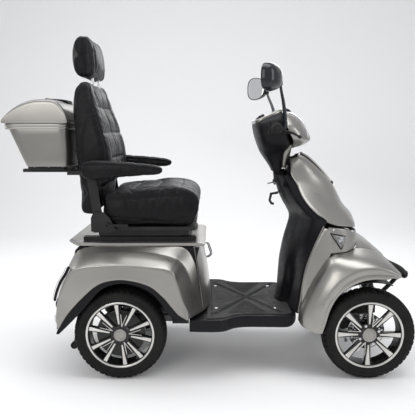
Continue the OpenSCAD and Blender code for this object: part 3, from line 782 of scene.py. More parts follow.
def side_panel(tag, s):
    """Sliver of paint between the leg shield and the front fender."""
    rows = []
    for z, back, front in ((656, 490, 512), (620, 474, 522), (580, 456, 526), (545, 442, 524),
                           (500, 427, 504), (449, 413, 478), (399, 405, 440), (350, 401, 418),
                           (300, 397, 403), (262, 394, 399)):
        rows.append([(back, 248 * s, z), (back + 2, 254 * s, z), ((back + front) / 2, 259 * s, z),
                     (front, 262 * s, z)])
    piece("side_panel_" + tag, grid_mesh(surface(rows, 40, 12)), "silver", "chassis", wall=PANEL)


def front_cowl():
    """Leaf-shaped shield from the tiller's neck to the nose."""
    table = [  # centre x, z; middle y, x, z; edge y, x, z
        ((420, 966), (40, 406, 961), (62, 376, 946)),
        ((462, 940), (54, 442, 934), (84, 378, 910)),
        ((520, 885), (66, 494, 878), (100, 378, 876)),
        ((572, 826), (82, 540, 818), (118, 398, 838)),
        ((618, 740), (120, 574, 748), (162, 420, 780)),
        ((654, 697), (152, 606, 706), (202, 454, 733)),
        ((672, 655), (172, 632, 672), (236, 515, 682)),
        ((674, 632), (178, 640, 650), (238, 560, 664)),
    ]
    rows = []
    for (cx, cz), (my, mx, mz), (ey, ex, ez) in table:
        rows.append(whole([(ex - 10, ey - 3, ez), (ex, ey, ez),
                           ((ex + mx) / 2 + 12, (ey + my) / 2 + 6, (ez + mz) / 2),
                           (mx, my, mz), (cx - 5, my * 0.45, cz - 1), (cx, 0, cz)]))
    piece("front_cowl_skin", grid_mesh(surface(rows, 60, 60)), "silver", "chassis", "front_cowl",
          wall=4)


def cowl_ridge():
    """Raised strip down the middle of the cowl with a black shadow gap and a black end."""
    line = [(424, 969), (463, 944), (520, 889), (570, 830)]
    for name, lift, half, look in (("gap", 0.2, 25, "black"), ("strip", 6, 22, "silver")):
        rows = []
        for i, (x, z) in enumerate(line):
            w = half * (0.7, 0.95, 1.0, 0.85)[i]
            x, z = x + lift * 0.75, z + lift * 0.66
            rows.append(whole([(x - 7, w, z - 6), (x - 2, w * 0.92, z - 1.5),
                               (x, w * 0.6, z), (x + 1, 0, z)]))
        piece("cowl_ridge_" + name, grid_mesh(surface(rows, 40, 22)), look, "chassis", wall=2.5)
    end = [(572, -15, 834), (577, 0, 826), (572, 15, 834)]
    piece("cowl_ridge_end", rod(end, 6, 16), "black", "chassis")


def front_fascia():
    """Painted band that wraps the nose under the cowl and carries the turn lamps."""
    table = [  # y, x at the top, z at the top, x at the foot, z at the foot
        (263, 508, 662, 520, 548), (252, 566, 654, 580, 552), (216, 616, 642, 628, 560),
        (160, 650, 632, 656, 576), (80, 668, 624, 670, 596), (0, 673, 620, 674, 600),
    ]
    rows = []
    for t in (0.0, 0.12, 0.5, 0.9, 1.0):
        rows.append(whole([(a + (b - a) * t + 3 * math.sin(math.pi * t), y,
                            za + (zb - za) * t) for y, a, za, b, zb in table]))
    piece("front_fascia", grid_mesh(surface(rows, 16, 70)), "silver", "chassis", wall=PANEL)
    dots = []
    for _, s in SIDES:
        for x, y, z in ((530, 262, 650), (624, 210, 636)):
            dots.append(lathe_mesh([(5, -1), (5, 1), (3.5, 3), (TIP, 4)], (x, y * s, z),
                                   (0.45, s, 0), 24))
    piece("fascia_studs", merged(*dots), "chrome", "chassis")


def turn_lamp(tag, s):
    """Clear triangular lamp with a bright bulb behind it, set in a black bezel."""
    def ring(grow, out):
        corners = [(520, 634), (602, 617), (566, 568)]
        points = []
        for i in range(3):
            (x0, z0), (x1, z1), (x2, z2) = [corners[(i + k) % 3] for k in (-1, 0, 1)]
            for t in (0.2, 0.1, 0.04):
                points.append((x1 + (x0 - x1) * t, z1 + (z0 - z1) * t))
            for t in (0.04, 0.1, 0.2, 0.5):
                points.append((x1 + (x2 - x1) * t, z1 + (z2 - z1) * t))
        found = []
        for x, z in points:
            x, z = 563 + (x - 563) * grow, 607 + (z - 607) * grow
            if x < 566:
                y = 265 - 11 * (x - 508) / 58
            else:
                y = 254 - 36 * (x - 566) / 50
            found.append((x, (y + 4 + out) * s, z))
        return found

    piece("turn_bezel_" + tag, grid_mesh([ring(1.14, -2), ring(1.14, 2.5), ring(1.04, 4),
          ring(0.98, 1)], ring=True), "black", "chassis", wall=1.5)
    nodes = ("front_lamps",) if s == 1 else ()
    piece("turn_lens_" + tag, solid([ring(1.0, 0), ring(0.96, 4.5), ring(0.7, 7),
          ring(0.3, 8)]), "clear", "chassis", *nodes)
    piece("turn_bulb_" + tag, lathe_mesh([(12, 0), (11, 3), (5, 4.5), (4.5, 3), (TIP, 3.2)],
          (563, 255 * s, 606), (0.32, s, 0), 32), "chrome", "chassis")


def nose_hood():
    """Bonnet between the front fenders, creased down its middle and falling to the headlamp."""
    table = [  # x, z at the centre, z of the crown beside it, z at the fender
        (652, 606, 598, 566), (690, 592, 584, 560), (730, 567, 562, 549), (768, 536, 532, 530),
        (796, 512, 509, 512), (808, 500, 498, 498),
    ]
    rows = []
    for i, (x, z, crown, side) in enumerate(table):
        back = (0, 4, 10, 18, 26, 34)[i]
        rows.append(whole([(x - back - 10, 196, side - 6), (x - back, 180, side),
                           (x - back * 0.4, 120, (crown + side) / 2 + 5), (x, 50, crown + 2),
                           (x + 2, 10, z - 1), (x + 3, 0, z)]))
    piece("nose_hood_skin", grid_mesh(surface(rows, 40, 60)), "silver", "chassis", "nose_hood",
          wall=PANEL)


def headlamp():
    """Slanted lamp across the nose: black bowl, bright reflector and clear cover."""
    def band(half, up, low, out):
        ring = []
        for p in ring_of((0, 0, 0), half, 1.0, 5, 64):
            t = (1 - p[1]) / 2
            x = up[0] + (low[0] - up[0]) * t
            z = up[1] + (low[1] - up[1]) * t
            ring.append((x + out * 0.62 - abs(p[0]) * 0.09, p[0], z - out * 0.55))
        return ring

    top, foot = (804, 499), (766, 466)
    piece("lamp_bowl", grid_mesh([band(122, top, foot, -14), band(124, top, foot, 0),
          band(116, (802, 496), (770, 470), 3)], ring=True), "black", "chassis", wall=2.5)
    bowls = []
    for y in (-62, 0, 62):
        profile = [(TIP, -8), (8, -7.5), (15, -4), (19, 1), (20.5, 2)]
        bowls.append(lathe_mesh(profile, (783, y, 484), (0.75, 0, -0.66), 40))
    piece("lamp_reflectors", merged(*bowls), "chrome", "chassis", wall=1)
    piece("lamp_cover", solid([band(116, (802, 496), (770, 470), 1),
          band(113, (801, 495), (771, 471), 5), band(90, (797, 492), (776, 475), 8),
          band(30, (790, 486), (784, 481), 9)]), "clear", "chassis")


def nose_grille():
    """Black slatted panel that closes the space under the headlamp."""
    rows = []
    for x, z in ((768, 464), (752, 446), (726, 428), (690, 418)):
        rows.append(whole([(x - 16, 186, z), (x - 6, 120, z), (x, 60, z), (x + 2, 0, z)]))
    shape = [grid_mesh(surface(rows, 16, 30))]
    for i in range(4):
        x, z = 764 - i * 18, 455 - i * 9
        shape.append(rod([(x - 10, -150, z), (x, 0, z - 2), (x - 10, 150, z)], 4, 24, 10))
    piece("nose_grille", merged(*shape), "black", "chassis", wall=3)


def front_fender(tag, s):
    """Fender skin as stations over the wheel: lip, crest and top, rolled under at the tip."""
    stations = [  # lip x, z; crest x, z; top y, x, z; inner y, x, z
        [(476, 219), (446, 222), (304, 398, 240), (256, 390, 250)],
        [(489, 262), (456, 266), (304, 401, 290), (256, 396, 300)],
        [(507, 326), (477, 342), (302, 432, 362), (256, 424, 380)],
        [(540, 385), (512, 412), (298, 476, 452), (254, 470, 470)],
        [(588, 425), (562, 464), (292, 534, 522), (244, 524, 546)],
        [(638, 449), (626, 496), (282, 610, 536), (212, 610, 556)],
        [(690, 458), (688, 504), (272, 686, 536), (196, 686, 554)],
        [(740, 458), (742, 496), (262, 742, 523), (194, 742, 538)],
        [(770, 463), (778, 482), (260, 784, 500), (192, 786, 508)],
        [(786, 458), (802, 466), (258, 810, 478), (190, 812, 486)],
    ]
    rows = []
    for lip, crest, top, inner in stations:
        lip = Vector((lip[0], 343, lip[1]))
        crest = Vector((crest[0], 340.5, crest[1]))
        top = Vector((top[1], top[0], top[2]))
        inner = Vector((inner[1], inner[0], inner[2]))
        out = (crest - lip).normalized()
        row = [
            lip + Vector((0, -12, 0)) - out, lip + Vector((0, -5, 0)) - out * 2, lip,
            lip.lerp(crest, 0.3) + Vector((0, 1.2, 0)), lip.lerp(crest, 0.4) + Vector((0, -0.8, 0)),
            lip.lerp(crest, 0.7) + Vector((0, 1, 0)), crest,
            crest.lerp(top, 0.5) + out * 3 + Vector((0, 4, 0)), top, inner,
        ]
        rows.append([(p.x, p.y * s, p.z) for p in row])
    nodes = ("front_fenders",) if s == 1 else ()
    piece("front_fender_" + tag, grid_mesh(surface(rows, 76, 44)), "silver", "chassis", *nodes,
          wall=PANEL)
    groove = [(404, 262), (418, 350), (440, 405), (478, 449), (504, 500), (525, 548)]
    piece("fender_gap_" + tag, rod([(x, 262 * s, z) for x, z in groove], 3.5, 50), "black",
          "chassis")
    under = [(402, 248), (440, 234), (474, 222)]
    shape = rod([(x, (262 + 30 * i) * s, z - 2) for i, (x, z) in enumerate(under)], 4, 16)
    piece("fender_foot_" + tag, shape, "black", "chassis")


def front_bumper():
    """One bent tube round the nose on two struts, with a rubber buffer on each corner."""
    half = [(738, 206, 516), (786, 214, 497), (840, 214, 470), (866, 206, 444), (868, 180, 434),
            (868, 120, 432), (868, 0, 432)]
    path = [tuple(p) for p in half] + flipped(half[:-1][::-1])
    parts = [rod(path, 11, 110, 18)]
    for _, s in SIDES:
        parts.append(rod([(866, 150 * s, 432), (842, 128 * s, 386), (800, 98 * s, 322),
                          (762, 76 * s, 262)], 10, 30, 16))
    piece("bumper_tube", merged(*parts), "coat", "chassis", "front_bumper")
    ends = [rod([(866, 206 * s, 446), (868, 198 * s, 434), (868, 168 * s, 432)], 13.5, 16, 18)
            for _, s in SIDES]
    piece("bumper_buffers", merged(*ends), "black", "chassis")


# ---------------------------------------------------------------- wheels

def tyre(name, body):
    """Tyre with ribbed walls and a block tread."""
    low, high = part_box(name)
    centre = (low + high) / 2 / MM
    r = (high.x - low.x) / 2 / MM
    half = (high.y - low.y) / 2 / MM
    side = [(r - 57.6, half - 10), (r - 52, half - 6), (r - 46, half - 4), (r - 38, half - 2),
            (r - 36, half - 0.2), (r - 33, half - 1.4), (r - 28, half - 0.3), (r - 20, half - 0.8),
            (r - 15, half - 3), (r - 11.5, half - 5.5), (r - 10.5, half - 3.8),
            (r - 6, half - 8), (r - 3, half - 13)]
    tread = [(r - 1.6, half - 17), (r - 0.8, 15), (r - 0.8, 13), (r - 5, 12.2), (r - 5, 9.4),
             (r - 0.4, 8.6), (r, 1.6), (r - 4, 1.0)]
    outer = side + tread
    profile = outer + [(a, -h) for a, h in outer[::-1]]
    profile += [(r - 57.6, -(half - 18)), (r - 48, -(half - 17)), (r - 48, half - 17),
                (r - 57.6, half - 18), (r - 57.6, half - 10)]

    def wobble(i, a, h):
        block = (i + (3 if h > 0 else 0)) % 6
        if a > r - 11 and abs(h) > 12.8 and block == 0:
            return a - 4.5, h
        if a > r - 2 and abs(h) < 9.5 and block == 3:
            return a - 2.5, h
        return a, h

    shape = lathe_mesh(profile, centre, (0, 1, 0), 288, wobble)
    piece(name.replace("tyre", "tyre_tread"), shape, "tyre", body, name, soft=28)


def spoke_shape(angle, s, centre, inner, outer, depth):
    """One tapered spoke: (radius, half width, face) at its foot and at the rim."""
    across = Vector((-math.sin(angle), 0, math.cos(angle)))
    along = Vector((math.cos(angle), 0, math.sin(angle)))
    rows = []
    for i in range(9):
        t = i / 8
        r = inner[0] + (outer[0] - inner[0]) * t
        w = inner[1] + (outer[1] - inner[1]) * t ** 1.15
        face = inner[2] + (outer[2] - inner[2]) * t ** 1.6
        ring = []
        for a, y in ((-1, face - depth), (-1, face - 1.2), (-0.86, face), (0.86, face),
                     (1, face - 1.2), (1, face - depth)):
            p = Vector(centre) + along * r + across * (w * a)
            ring.append((p.x, centre[1] + y * s, p.z))
        rows.append(ring)
    return solid(rows)


def rim(name, body):
    """Two-tone rim: machined lip and spoke faces over a black core, with a cap on the hub."""
    s = 1 if name.endswith("l") else -1
    low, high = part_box(name.replace("rim", "tyre"))
    centre = (low + high) / 2 / MM
    front = name.startswith("front")
    pairs, turn = (4, 68) if front else (5, 79)
    axis = (0, s, 0)
    label = name.replace("_rim_", "_wheel_")

    lip = [(138.6, 20), (138.8, 30), (139.2, 34), (141, 35.6), (145, 36), (147.4, 35),
           (147.4, 33.4), (142.4, 32), (141.8, 29), (141.8, 20)]
    piece(label + ".lip", lathe_mesh(lip + lip[:1], centre, axis, 128), "alloy", body, name)
    barrel = [(136, 31), (133.4, 24), (133.4, -32), (140, -36), (147.4, -36), (147.4, -33.4),
              (141.8, -31), (141.8, 20), (139, 31), (136, 31)]
    piece(label + ".barrel", lathe_mesh(barrel, centre, axis, 96), "rim_black", body)

    bright, dark = [], []
    half = math.radians(85 / pairs)
    for i in range(pairs):
        middle = math.radians(turn) + FULL_TURN * i / pairs
        for j in (-1, 1):
            a = middle + j * half
            wide = 10.5 if front else 8.6
            bright.append(spoke_shape(a, s, centre, (47, 3.4, 27), (135, wide, 32.5), 3))
            dark.append(spoke_shape(a, s, centre, (24, 9, 25), (135, wide + 3, 30.2), 18))
            inner = a - j * math.radians(5.2)
            foot = centre + Vector((math.cos(middle), 0, math.sin(middle))) * 38
            tip = centre + Vector((math.cos(inner), 0, math.sin(inner))) * 92
            tip -= Vector((-math.sin(inner), 0, math.cos(inner))) * (j * 6.0)
            path = [(foot.x, centre.y + 27 * s, foot.z), (tip.x, centre.y + 29.6 * s, tip.z)]
            bright.append(rod(path, [2.2, 1.5], 12, 10))
    piece(label + ".faces", merged(*bright), "alloy", body, soft=30)
    hub = lathe_mesh([(TIP, 8), (40, 8), (44, 12), (44, 22), (40, 26.5), (30, 27.5),
                      (TIP, 27.5)], centre, axis, 72)
    back = lathe_mesh([(27, 10), (26, -12), (TIP, -12)], centre, axis, 48)
    piece(label + ".core", merged(hub, back, *dark), "rim_black", body, soft=30)

    radius = 31 if front else 28
    dome = [(radius, 26), (radius, 33), (radius - 2, 35.5), (radius - 7, 36), (radius - 9, 33.5),
            (radius - 12, 33.8), (6, 35.6), (TIP, 35.8)]
    piece(label + ".cap", lathe_mesh(dome, centre, axis, 64), "cap", body)
    if front:
        nuts = []
        for i in range(pairs):
            a = math.radians(turn + 180 / pairs) + FULL_TURN * i / pairs
            place = centre + Vector((math.cos(a), 0, math.sin(a))) * 43
            nut = [(TIP, 27), (7.5, 27), (7.5, 31.5), (6, 34), (TIP, 34.6)]
            nuts.append(lathe_mesh(nut, place, axis, 6))
        piece(label + ".nuts", merged(*nuts), "steel", body, soft=25)
        piece(label + ".disc", brake_disc(centre, axis), "steel", body, wall=3.6)
        bell = [(30, -20), (30, -17), (26, -10), (26, 10)]
        piece(label + ".bell", lathe_mesh(bell, centre, axis, 48), "rim_black", body, wall=2)
    else:
        drum = [(TIP, 13), (96, 13), (104, 10), (106, 4), (106, -8), (30, -12)]
        piece(label + ".drum", lathe_mesh(drum, centre, axis, 72), "rim_black", body)
        shaft = [(12.5, -12), (12.5, 130 - centre.y * s), (TIP, 130 - centre.y * s)]
        piece(label + ".shaft", lathe_mesh(shaft, centre, axis, 32), "steel", body)


def brake_disc(centre, axis):
    """Brake disc with three rings of cut slots."""
    steps, radii = 96, [28, 42, 47, 53, 57, 62, 66, 72, 76, 80]
    turn = UP.rotation_difference(Vector(axis))
    verts, faces = [], []
    for i in range(steps):
        a = FULL_TURN * i / steps
        for r in radii:
            verts.append(centre + turn @ Vector((r * math.cos(a), r * math.sin(a), -19)))
    n = len(radii)
    for i in range(steps):
        for j in range(n - 1):
            if j in (2, 4, 6) and (i + j) % 6 == 0:
                continue
            k = (i + 1) % steps
            faces.append((i * n + j, i * n + j + 1, k * n + j + 1, k * n + j))
    return verts, faces


# ---------------------------------------------------------------- cushions

def loft_y(outline, stations, shift=None):
    """An outline in x and z drawn across the vehicle; each station is (y, scale), and shift
    moves each point to where it ends up."""
    fine = closed_spline([(x, 0, z) for x, z in outline], 110)
    mid = sum(fine, Vector()) / len(fine)
    rows = []
    for y, k in stations:
        row = []
        for p in fine:
            q = mid + (p - mid) * k
            q.y = y
            row.append(shift(q) if shift else q)
        rows.append(row)
    return solid(rows)


def away(point, line):
    """Distance from a point to a broken line, both in the same plane."""
    best = 1e9
    for a, b in zip(line, line[1:]):
        dx, dy = b[0] - a[0], b[1] - a[1]
        t = ((point[0] - a[0]) * dx + (point[1] - a[1]) * dy) / (dx * dx + dy * dy)
        t = min(1, max(0, t))
        best = min(best, math.hypot(point[0] - a[0] - t * dx, point[1] - a[1] - t * dy))
    return best


def nearness(p, n, seams, width):
    """1 on a seam, falling to 0 beside it. A seam is (plane, line, rule): the line is drawn in
    that plane, and the rule says which points, with their normals, it counts for."""
    best = 0.0
    for plane, line, rule in seams:
        if not rule(p, n):
            continue
        if plane == "xz":
            d = away((p.x, p.z), line)
        elif plane == "yz":
            d = away((abs(p.y), p.z), line)
        else:
            d = away((p.x, abs(p.y)), line)
        if d < 3 * width:
            best = max(best, math.exp(-(d / width) ** 2))
    return best


def stuffed(name, shape, body, node, skins, seams, swell, limits, pleats=0.0):
    """A cushion: remeshed, blown up between its seams as cloth, and applied. skins is
    (main look, second look, rule for the second); limits is the lowest and highest
    corner that the cushion may reach."""
    verts, faces = shape
    raw = bpy.data.meshes.new(name + "_raw")
    raw.from_pydata([Vector(v) * MM for v in verts], [], faces)
    obj = bpy.data.objects.new(name, raw)
    bpy.context.scene.collection.objects.link(obj)
    voxel = obj.modifiers.new("voxel", "REMESH")
    voxel.mode = "VOXEL"
    voxel.voxel_size = VOXEL * MM
    calm = obj.modifiers.new("calm", "SMOOTH")
    calm.factor, calm.iterations = 0.5, 8
    graph = bpy.context.evaluated_depsgraph_get()
    mesh = bpy.data.meshes.new_from_object(obj.evaluated_get(graph))
    obj.modifiers.clear()
    obj.data = mesh
    mesh.shade_smooth()
    rest = [v.co.copy() for v in mesh.vertices]
    out = [v.normal.copy() for v in mesh.vertices]
    held = [nearness(p / MM, n, seams, 5.0) for p, n in zip(rest, out)]
    for v, p, n in zip(mesh.vertices, rest, out):
        v.co = p - n * (swell * 0.3 * MM)
    start = [v.co.copy() for v in mesh.vertices]
    ends = inflated(obj, held)
    low, high = Vector(limits[0]), Vector(limits[1])
    for v, a, b, n, h in zip(mesh.vertices, start, ends, out, held):
        move = b - a
        if move.length > swell * MM:
            move = move.normalized() * (swell * MM)
        p = (a + move) / MM
        p -= n * (3.0 * h)
        if pleats:
            near = nearness(p, n, seams, 15.0)
            p += n * (pleats * near * (1 - h) * math.sin((p.x + p.z) * 0.42))
        v.co = Vector([min(hi, max(lo, c)) for c, lo, hi in zip(p, low, high)]) * MM
    main, second, rule = skins
    mesh.materials.clear()
    for look in (main, second):
        mesh.materials.append(LOOKS[look][0])
    for face in mesh.polygons:
        face.material_index = 1 if rule(face.center / MM, face.normal) else 0
        face.use_smooth = True
    sub = obj.modifiers.new("smooth", "SUBSURF")
    sub.levels = sub.render_levels = 1
    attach(obj, body)
    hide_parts(node)


def inflated(obj, held):
    """Where cloth pressure pushes the skin when its seams are pinned down."""
    group = obj.vertex_groups.new(name="seams")
    for i, h in enumerate(held):
        if h > PINNED:
            group.add([i], min(1.0, h), "REPLACE")
    cloth = obj.modifiers.new("cloth", "CLOTH")
    cloth.settings.use_pressure = True
    cloth.settings.uniform_pressure_force = PRESSURE
    cloth.settings.effector_weights.gravity = 0
    cloth.settings.vertex_group_mass = "seams"
    cloth.settings.quality = 5
    cloth.settings.tension_stiffness = 12
    cloth.settings.compression_stiffness = 12
    cloth.settings.bending_stiffness = 0.4
    cloth.settings.shrink_min = -0.014
    scene = bpy.context.scene
    for i in range(1, CLOTH_FRAMES + 1):
        scene.frame_set(i)
    graph = bpy.context.evaluated_depsgraph_get()
    puffed = obj.evaluated_get(graph).to_mesh()
    ends = [v.co.copy() for v in puffed.vertices]
    obj.evaluated_get(graph).to_mesh_clear()
    obj.modifiers.remove(cloth)
    scene.frame_set(1)
    obj.vertex_groups.remove(group)
    return ends


def seat_cushion():
    """Seat cushion with a bolster on each side and three channels sewn across."""
    outline = [(-455, 668), (-458, 740), (-456, 800), (-400, 812), (-300, 820), (-200, 831),
               (-120, 830), (-68, 812), (-44, 778), (-44, 735), (-58, 690), (-72, 666),
               (-260, 661)]
    side = [(-458, 772), (-330, 778), (-200, 790), (-110, 790), (-60, 764), (-44, 745)]
    low_side = [(-458, 700), (-300, 692), (-60, 700)]
    seams = [
        ("xz", side, lambda p, n: abs(n.y) > 0.35 or (p.x > -60 and p.z < 780)),
        ("xz", low_side, lambda p, n: abs(n.y) > 0.5 or p.x > -75),
        ("xy", [(-452, 158), (-60, 158)], lambda p, n: n.z > 0.2 or (n.x > 0.5 and p.z > 700)),
        ("xy", [(-338, 0), (-338, 150)], lambda p, n: n.z > 0.4 and abs(p.y) < 158),
        ("xy", [(-232, 0), (-232, 150)], lambda p, n: n.z > 0.4 and abs(p.y) < 158),
        ("xy", [(-128, 0), (-128, 150)], lambda p, n: n.z > 0.3 and abs(p.y) < 158),
    ]
    shape = loft_y(outline, [(-229, 0.93), (-224, 0.975), (-214, 1), (214, 1), (224, 0.975),
                             (229, 0.93)])
    # faces turned up take the lighter leather, a painted highlight
    stuffed("seat_cushion_padded", shape, "seat", "seat_cushion",
            ("leather", "leather_painted_highlight", lambda p, n: n.z > 0.5), seams, 11,
            ((-468, -233, 657.5), (-38, 233, 842)), 0.9)


def backrest():
    """Backrest that narrows and thins towards its top, with quilted front and bolsters."""
    outline = [(-546, 716), (-515, 708), (-490, 712), (-482, 780), (-470, 836), (-438, 846),
               (-424, 880), (-424, 940), (-430, 1005), (-454, 1090), (-478, 1166), (-494, 1222),
               (-506, 1262), (-522, 1282), (-548, 1282), (-570, 1262), (-578, 1225),
               (-579, 1140), (-569, 1000), (-558, 880), (-551, 790)]

    def narrow(q):
        high = min(1, max(0, (q.z - 980) / 300))
        q.y *= 1 - 0.24 * high ** 2
        front = min(1, max(0, (q.x + 540) / 60))
        q.x -= 9 * front * max(0.0, 1 - (abs(q.y) / 150) ** 4)
        return q

    edge = [(-516, 1284), (-503, 1200), (-466, 1090), (-440, 1000), (-436, 900), (-442, 846)]
    seams = [
        ("xz", edge, lambda p, n: abs(n.y) > 0.35),
        ("xz", [(-566, 905), (-440, 905)], lambda p, n: abs(n.y) > 0.6),
        ("yz", [(150, 730), (158, 900), (150, 1100), (116, 1282)],
         lambda p, n: n.x > 0.3 and p.z > 700),
        ("yz", [(0, 950), (230, 950)], lambda p, n: n.x > 0.3 and abs(p.y) < 157),
        ("yz", [(0, 1062), (230, 1062)], lambda p, n: n.x > 0.3),
        ("yz", [(0, 1172), (140, 1172)], lambda p, n: n.x > 0.3 and abs(p.y) < 138),
        ("xz", [(-560, 720), (-572, 1000), (-577, 1180), (-560, 1268)],
         lambda p, n: abs(n.y) > 0.2),
    ]
    shape = loft_y(outline, [(-229, 0.95), (-226, 0.98), (-216, 0.995), (-165, 1), (-120, 1),
                             (0, 1), (120, 1), (165, 1), (216, 0.995), (226, 0.98),
                             (229, 0.95)], shift=narrow)
    # faces turned forward take the lighter leather, a painted highlight
    stuffed("backrest_padded", shape, "back", "backrest",
            ("leather", "leather_painted_highlight", lambda p, n: n.x > 0.45), seams, 9,
            ((-590, -232.4, 702), (-412, 232.4, 1292)), 1.0)


def headrest():
    """Headrest with a gathered seam down each side."""
    outline = [(-592, 1330), (-578, 1306), (-552, 1299), (-522, 1299), (-504, 1310),
               (-498, 1345), (-500, 1400), (-508, 1446), (-524, 1474), (-548, 1483),
               (-574, 1474), (-590, 1446), (-596, 1395), (-596, 1360)]
    fold = [(-546, 1484), (-540, 1440), (-532, 1380), (-530, 1300)]
    seams = [
        ("xz", fold, lambda p, n: True),
        ("yz", [(96, 1300), (100, 1400), (84, 1484)], lambda p, n: n.x > 0.3),
    ]
    shape = loft_y(outline, [(-132, 0.80), (-127, 0.9), (-115, 0.965), (-90, 1), (90, 1),
                             (115, 0.965), (127, 0.9), (132, 0.80)])
    # the front half takes the lighter leather, a painted highlight
    stuffed("headrest_padded", shape, "head", "headrest",
            ("leather", "leather_painted_highlight", lambda p, n: p.x > -532), seams, 8,
            ((-600, -138, 1296), (-490, 138, 1489)), 1.6)


def armrest(tag, s):
    """Long armrest pad with a seam round its side."""
    outline = [(-534, 930), (-530, 880), (-500, 870), (-440, 872), (-360, 880), (-270, 888),
               (-216, 890), (-200, 896), (-195, 908), (-203, 921), (-250, 931), (-330, 938),
               (-420, 944), (-500, 946)]
    seam = [(-534, 925), (-430, 931), (-330, 926), (-198, 908)]
    seams = [("xz", seam, lambda p, n: abs(n.y) > 0.25)]
    low, high = sorted((246 * s, 294 * s))
    shape = loft_y(outline, [(low, 0.93), (low + 4, 0.98), (low + 10, 1), (high - 10, 1),
                             (high - 4, 0.98), (high, 0.93)])
    node = "armrest_" + tag
    # faces turned up take the lighter leather, a painted highlight
    stuffed(node + "_padded", shape, "arm_" + tag, node,
            ("leather", "leather_painted_highlight", lambda p, n: n.z > 0.45), seams, 3.5,
            ((-540, low - 2, 864), (-192, high + 2, 950)), 0.4)


def recliner():
    """Plastic cover over the recliner on the left; the right side carries the lever."""
    outline = [(-518, 628), (-396, 628), (-408, 664), (-420, 690), (-440, 716), (-470, 728),
               (-500, 726), (-516, 700)]
    fine = closed_spline([(x, 0, z) for x, z in outline], 80)
    mid = sum(fine, Vector()) / len(fine)
    rows = []
    for y, k in ((243.4, 1.0), (247, 1.0), (250, 0.97), (251.5, 0.9)):
        rows.append([(mid.x + (p.x - mid.x) * k, y, mid.z + (p.z - mid.z) * k) for p in fine])
    piece("recliner_cover", solid(rows), "black", "seat")


# ---------------------------------------------------------------- luggage box

def box_shell():
    """Tub of the luggage box: flared walls under a double rim, a foot and a clasp."""
    rows = []
    levels = [(918, -796, -606, 193), (921, -800, -605, 197), (950, -813, -605, 199),
              (1000, -834, -605, 202), (1050, -855, -605, 205), (1078, -866, -605, 207)]
    for z, x0, x1, half in levels:
        rows.append(ring_of(((x0 + x1) / 2, 0, z), (x1 - x0) / 2, half, 9, 96))
    # the tub, its floor and its feet take the darker silver copy, which paints shade
    piece("box_tub", grid_mesh(rows, ring=True), "silver_painted_shade", "back", "box_base", wall=3)
    floor = [[(-700 + (p[0] + 700) * k, p[1] * k, 918) for p in rows[0]] for k in (1, 0.6, 0.01)]
    piece("box_floor", solid(floor), "silver_painted_shade", "back")
    rim = []
    for z, grow in ((1076, -6), (1076, 0), (1079, 5), (1083, 5.5), (1086, 3), (1088, 3),
                    (1091, 6), (1097, 6), (1100, 3), (1100, -8), (1092, -10)):
        rim.append(ring_of((-743, 0, z), 137 + grow, 204 + grow, 9, 96))
    piece("box_rim", grid_mesh(rim, ring=True), "silver", "back", wall=1.2)
    clasp = ring_of((0, 0, 0), 14, 26, 6, 40)
    shape = [[(-873 - d, y * k, 1062 + x * k) for x, y, _ in clasp]
             for d, k in ((0, 1), (6, 1), (9, 0.86), (9.5, 0.5))]
    piece("box_clasp", solid(shape), "black", "back")
    ribs = [rod([(-640 - i * 62, 0, 915), (-640 - i * 62, 120, 915), (-640 - i * 62, 176, 915)],
                3, 12, 8) for i in range(3)]
    ribs += [(flipped(v), f) for v, f in ribs]
    piece("box_feet", merged(*ribs), "silver_painted_shade", "back")


def box_lid():
    """Domed lid with a bright edge arc, a dark handle plate and two hinge knuckles."""
    outline = [(-884, 1104), (-884, 1114), (-868, 1136), (-838, 1162), (-800, 1184),
               (-750, 1199), (-700, 1202), (-662, 1198), (-636, 1182), (-616, 1150),
               (-607, 1120), (-605, 1104)]
    fine = spline([(x, 0, z) for x, z in outline], 70)
    rows = []
    for y, k in ((-211, 0.80), (-210, 0.9), (-205, 0.965), (-196, 1.0), (-100, 1.012),
                 (0, 1.016), (100, 1.012), (196, 1.0), (205, 0.965), (210, 0.9), (211, 0.80)):
        row = []
        for p in fine:
            z = 1103 + (p.z - 1103) * k
            x = -745 + (p.x + 745) * (0.985 + 0.015 * k)
            row.append((x, y, z))
        rows.append(row)
    parts = [grid_mesh(rows)]
    for end in (0, -1):
        base = [(x, y, 1103.0) for x, y, z in rows[end]]
        parts.append(grid_mesh([rows[end], base]))
    piece("box_dome", merged(*parts), "silver", "lid", "box_lid", wall=2.4)
    lip = []
    for z, grow in ((1101, 2), (1101, 6), (1104, 7), (1107, 5), (1110, 0)):
        lip.append(ring_of((-744, 0, z), 136 + grow, 203 + grow, 9, 96))
    piece("box_lid_lip", grid_mesh(lip, ring=True), "silver", "lid", wall=1.2)
    arcs = []
    for _, s in SIDES:
        arcs.append(rod([(p.x * 0.985 - 11, 207 * s, 1104 + (p.z - 1104) * 0.95)
                         for p in fine[2:-2:6]], 2.2, 60, 8))
    seam = rod([(p.x, 0, 1104 + (p.z - 1104) * 1.016 + 0.6) for p in fine[3:-3:5]], 1.6, 60, 8)
    piece("box_lid_beads", merged(seam, *arcs), "chrome", "lid")
    plate = []
    for z, k in ((1196, 1.0), (1208, 1.0), (1212, 0.93), (1212.5, 0.5)):
        ring = ring_of((-706, 0, z), 64 * k, 74 * k, 4, 60)
        plate.append([(x, y, zz - ((x + 706) / 64) ** 2 * 5) for x, y, zz in ring])
    piece("box_handle_plate", solid(plate), "black", "lid")
    grip = rod([(-742, -44, 1206), (-742, -34, 1214), (-742, 34, 1214), (-742, 44, 1206)], 4, 24)
    piece("box_handle", grip, "knob", "lid")
    knuckles = [lathe_mesh([(TIP, -9), (6.4, -9), (6.4, 9), (TIP, 9)],
                           (-593, 61 * s, 1102), (0, 1, 0), 24) for _, s in SIDES]
    piece("box_hinges", merged(*knuckles), "steel", "lid")


# ---------------------------------------------------------------- tiller

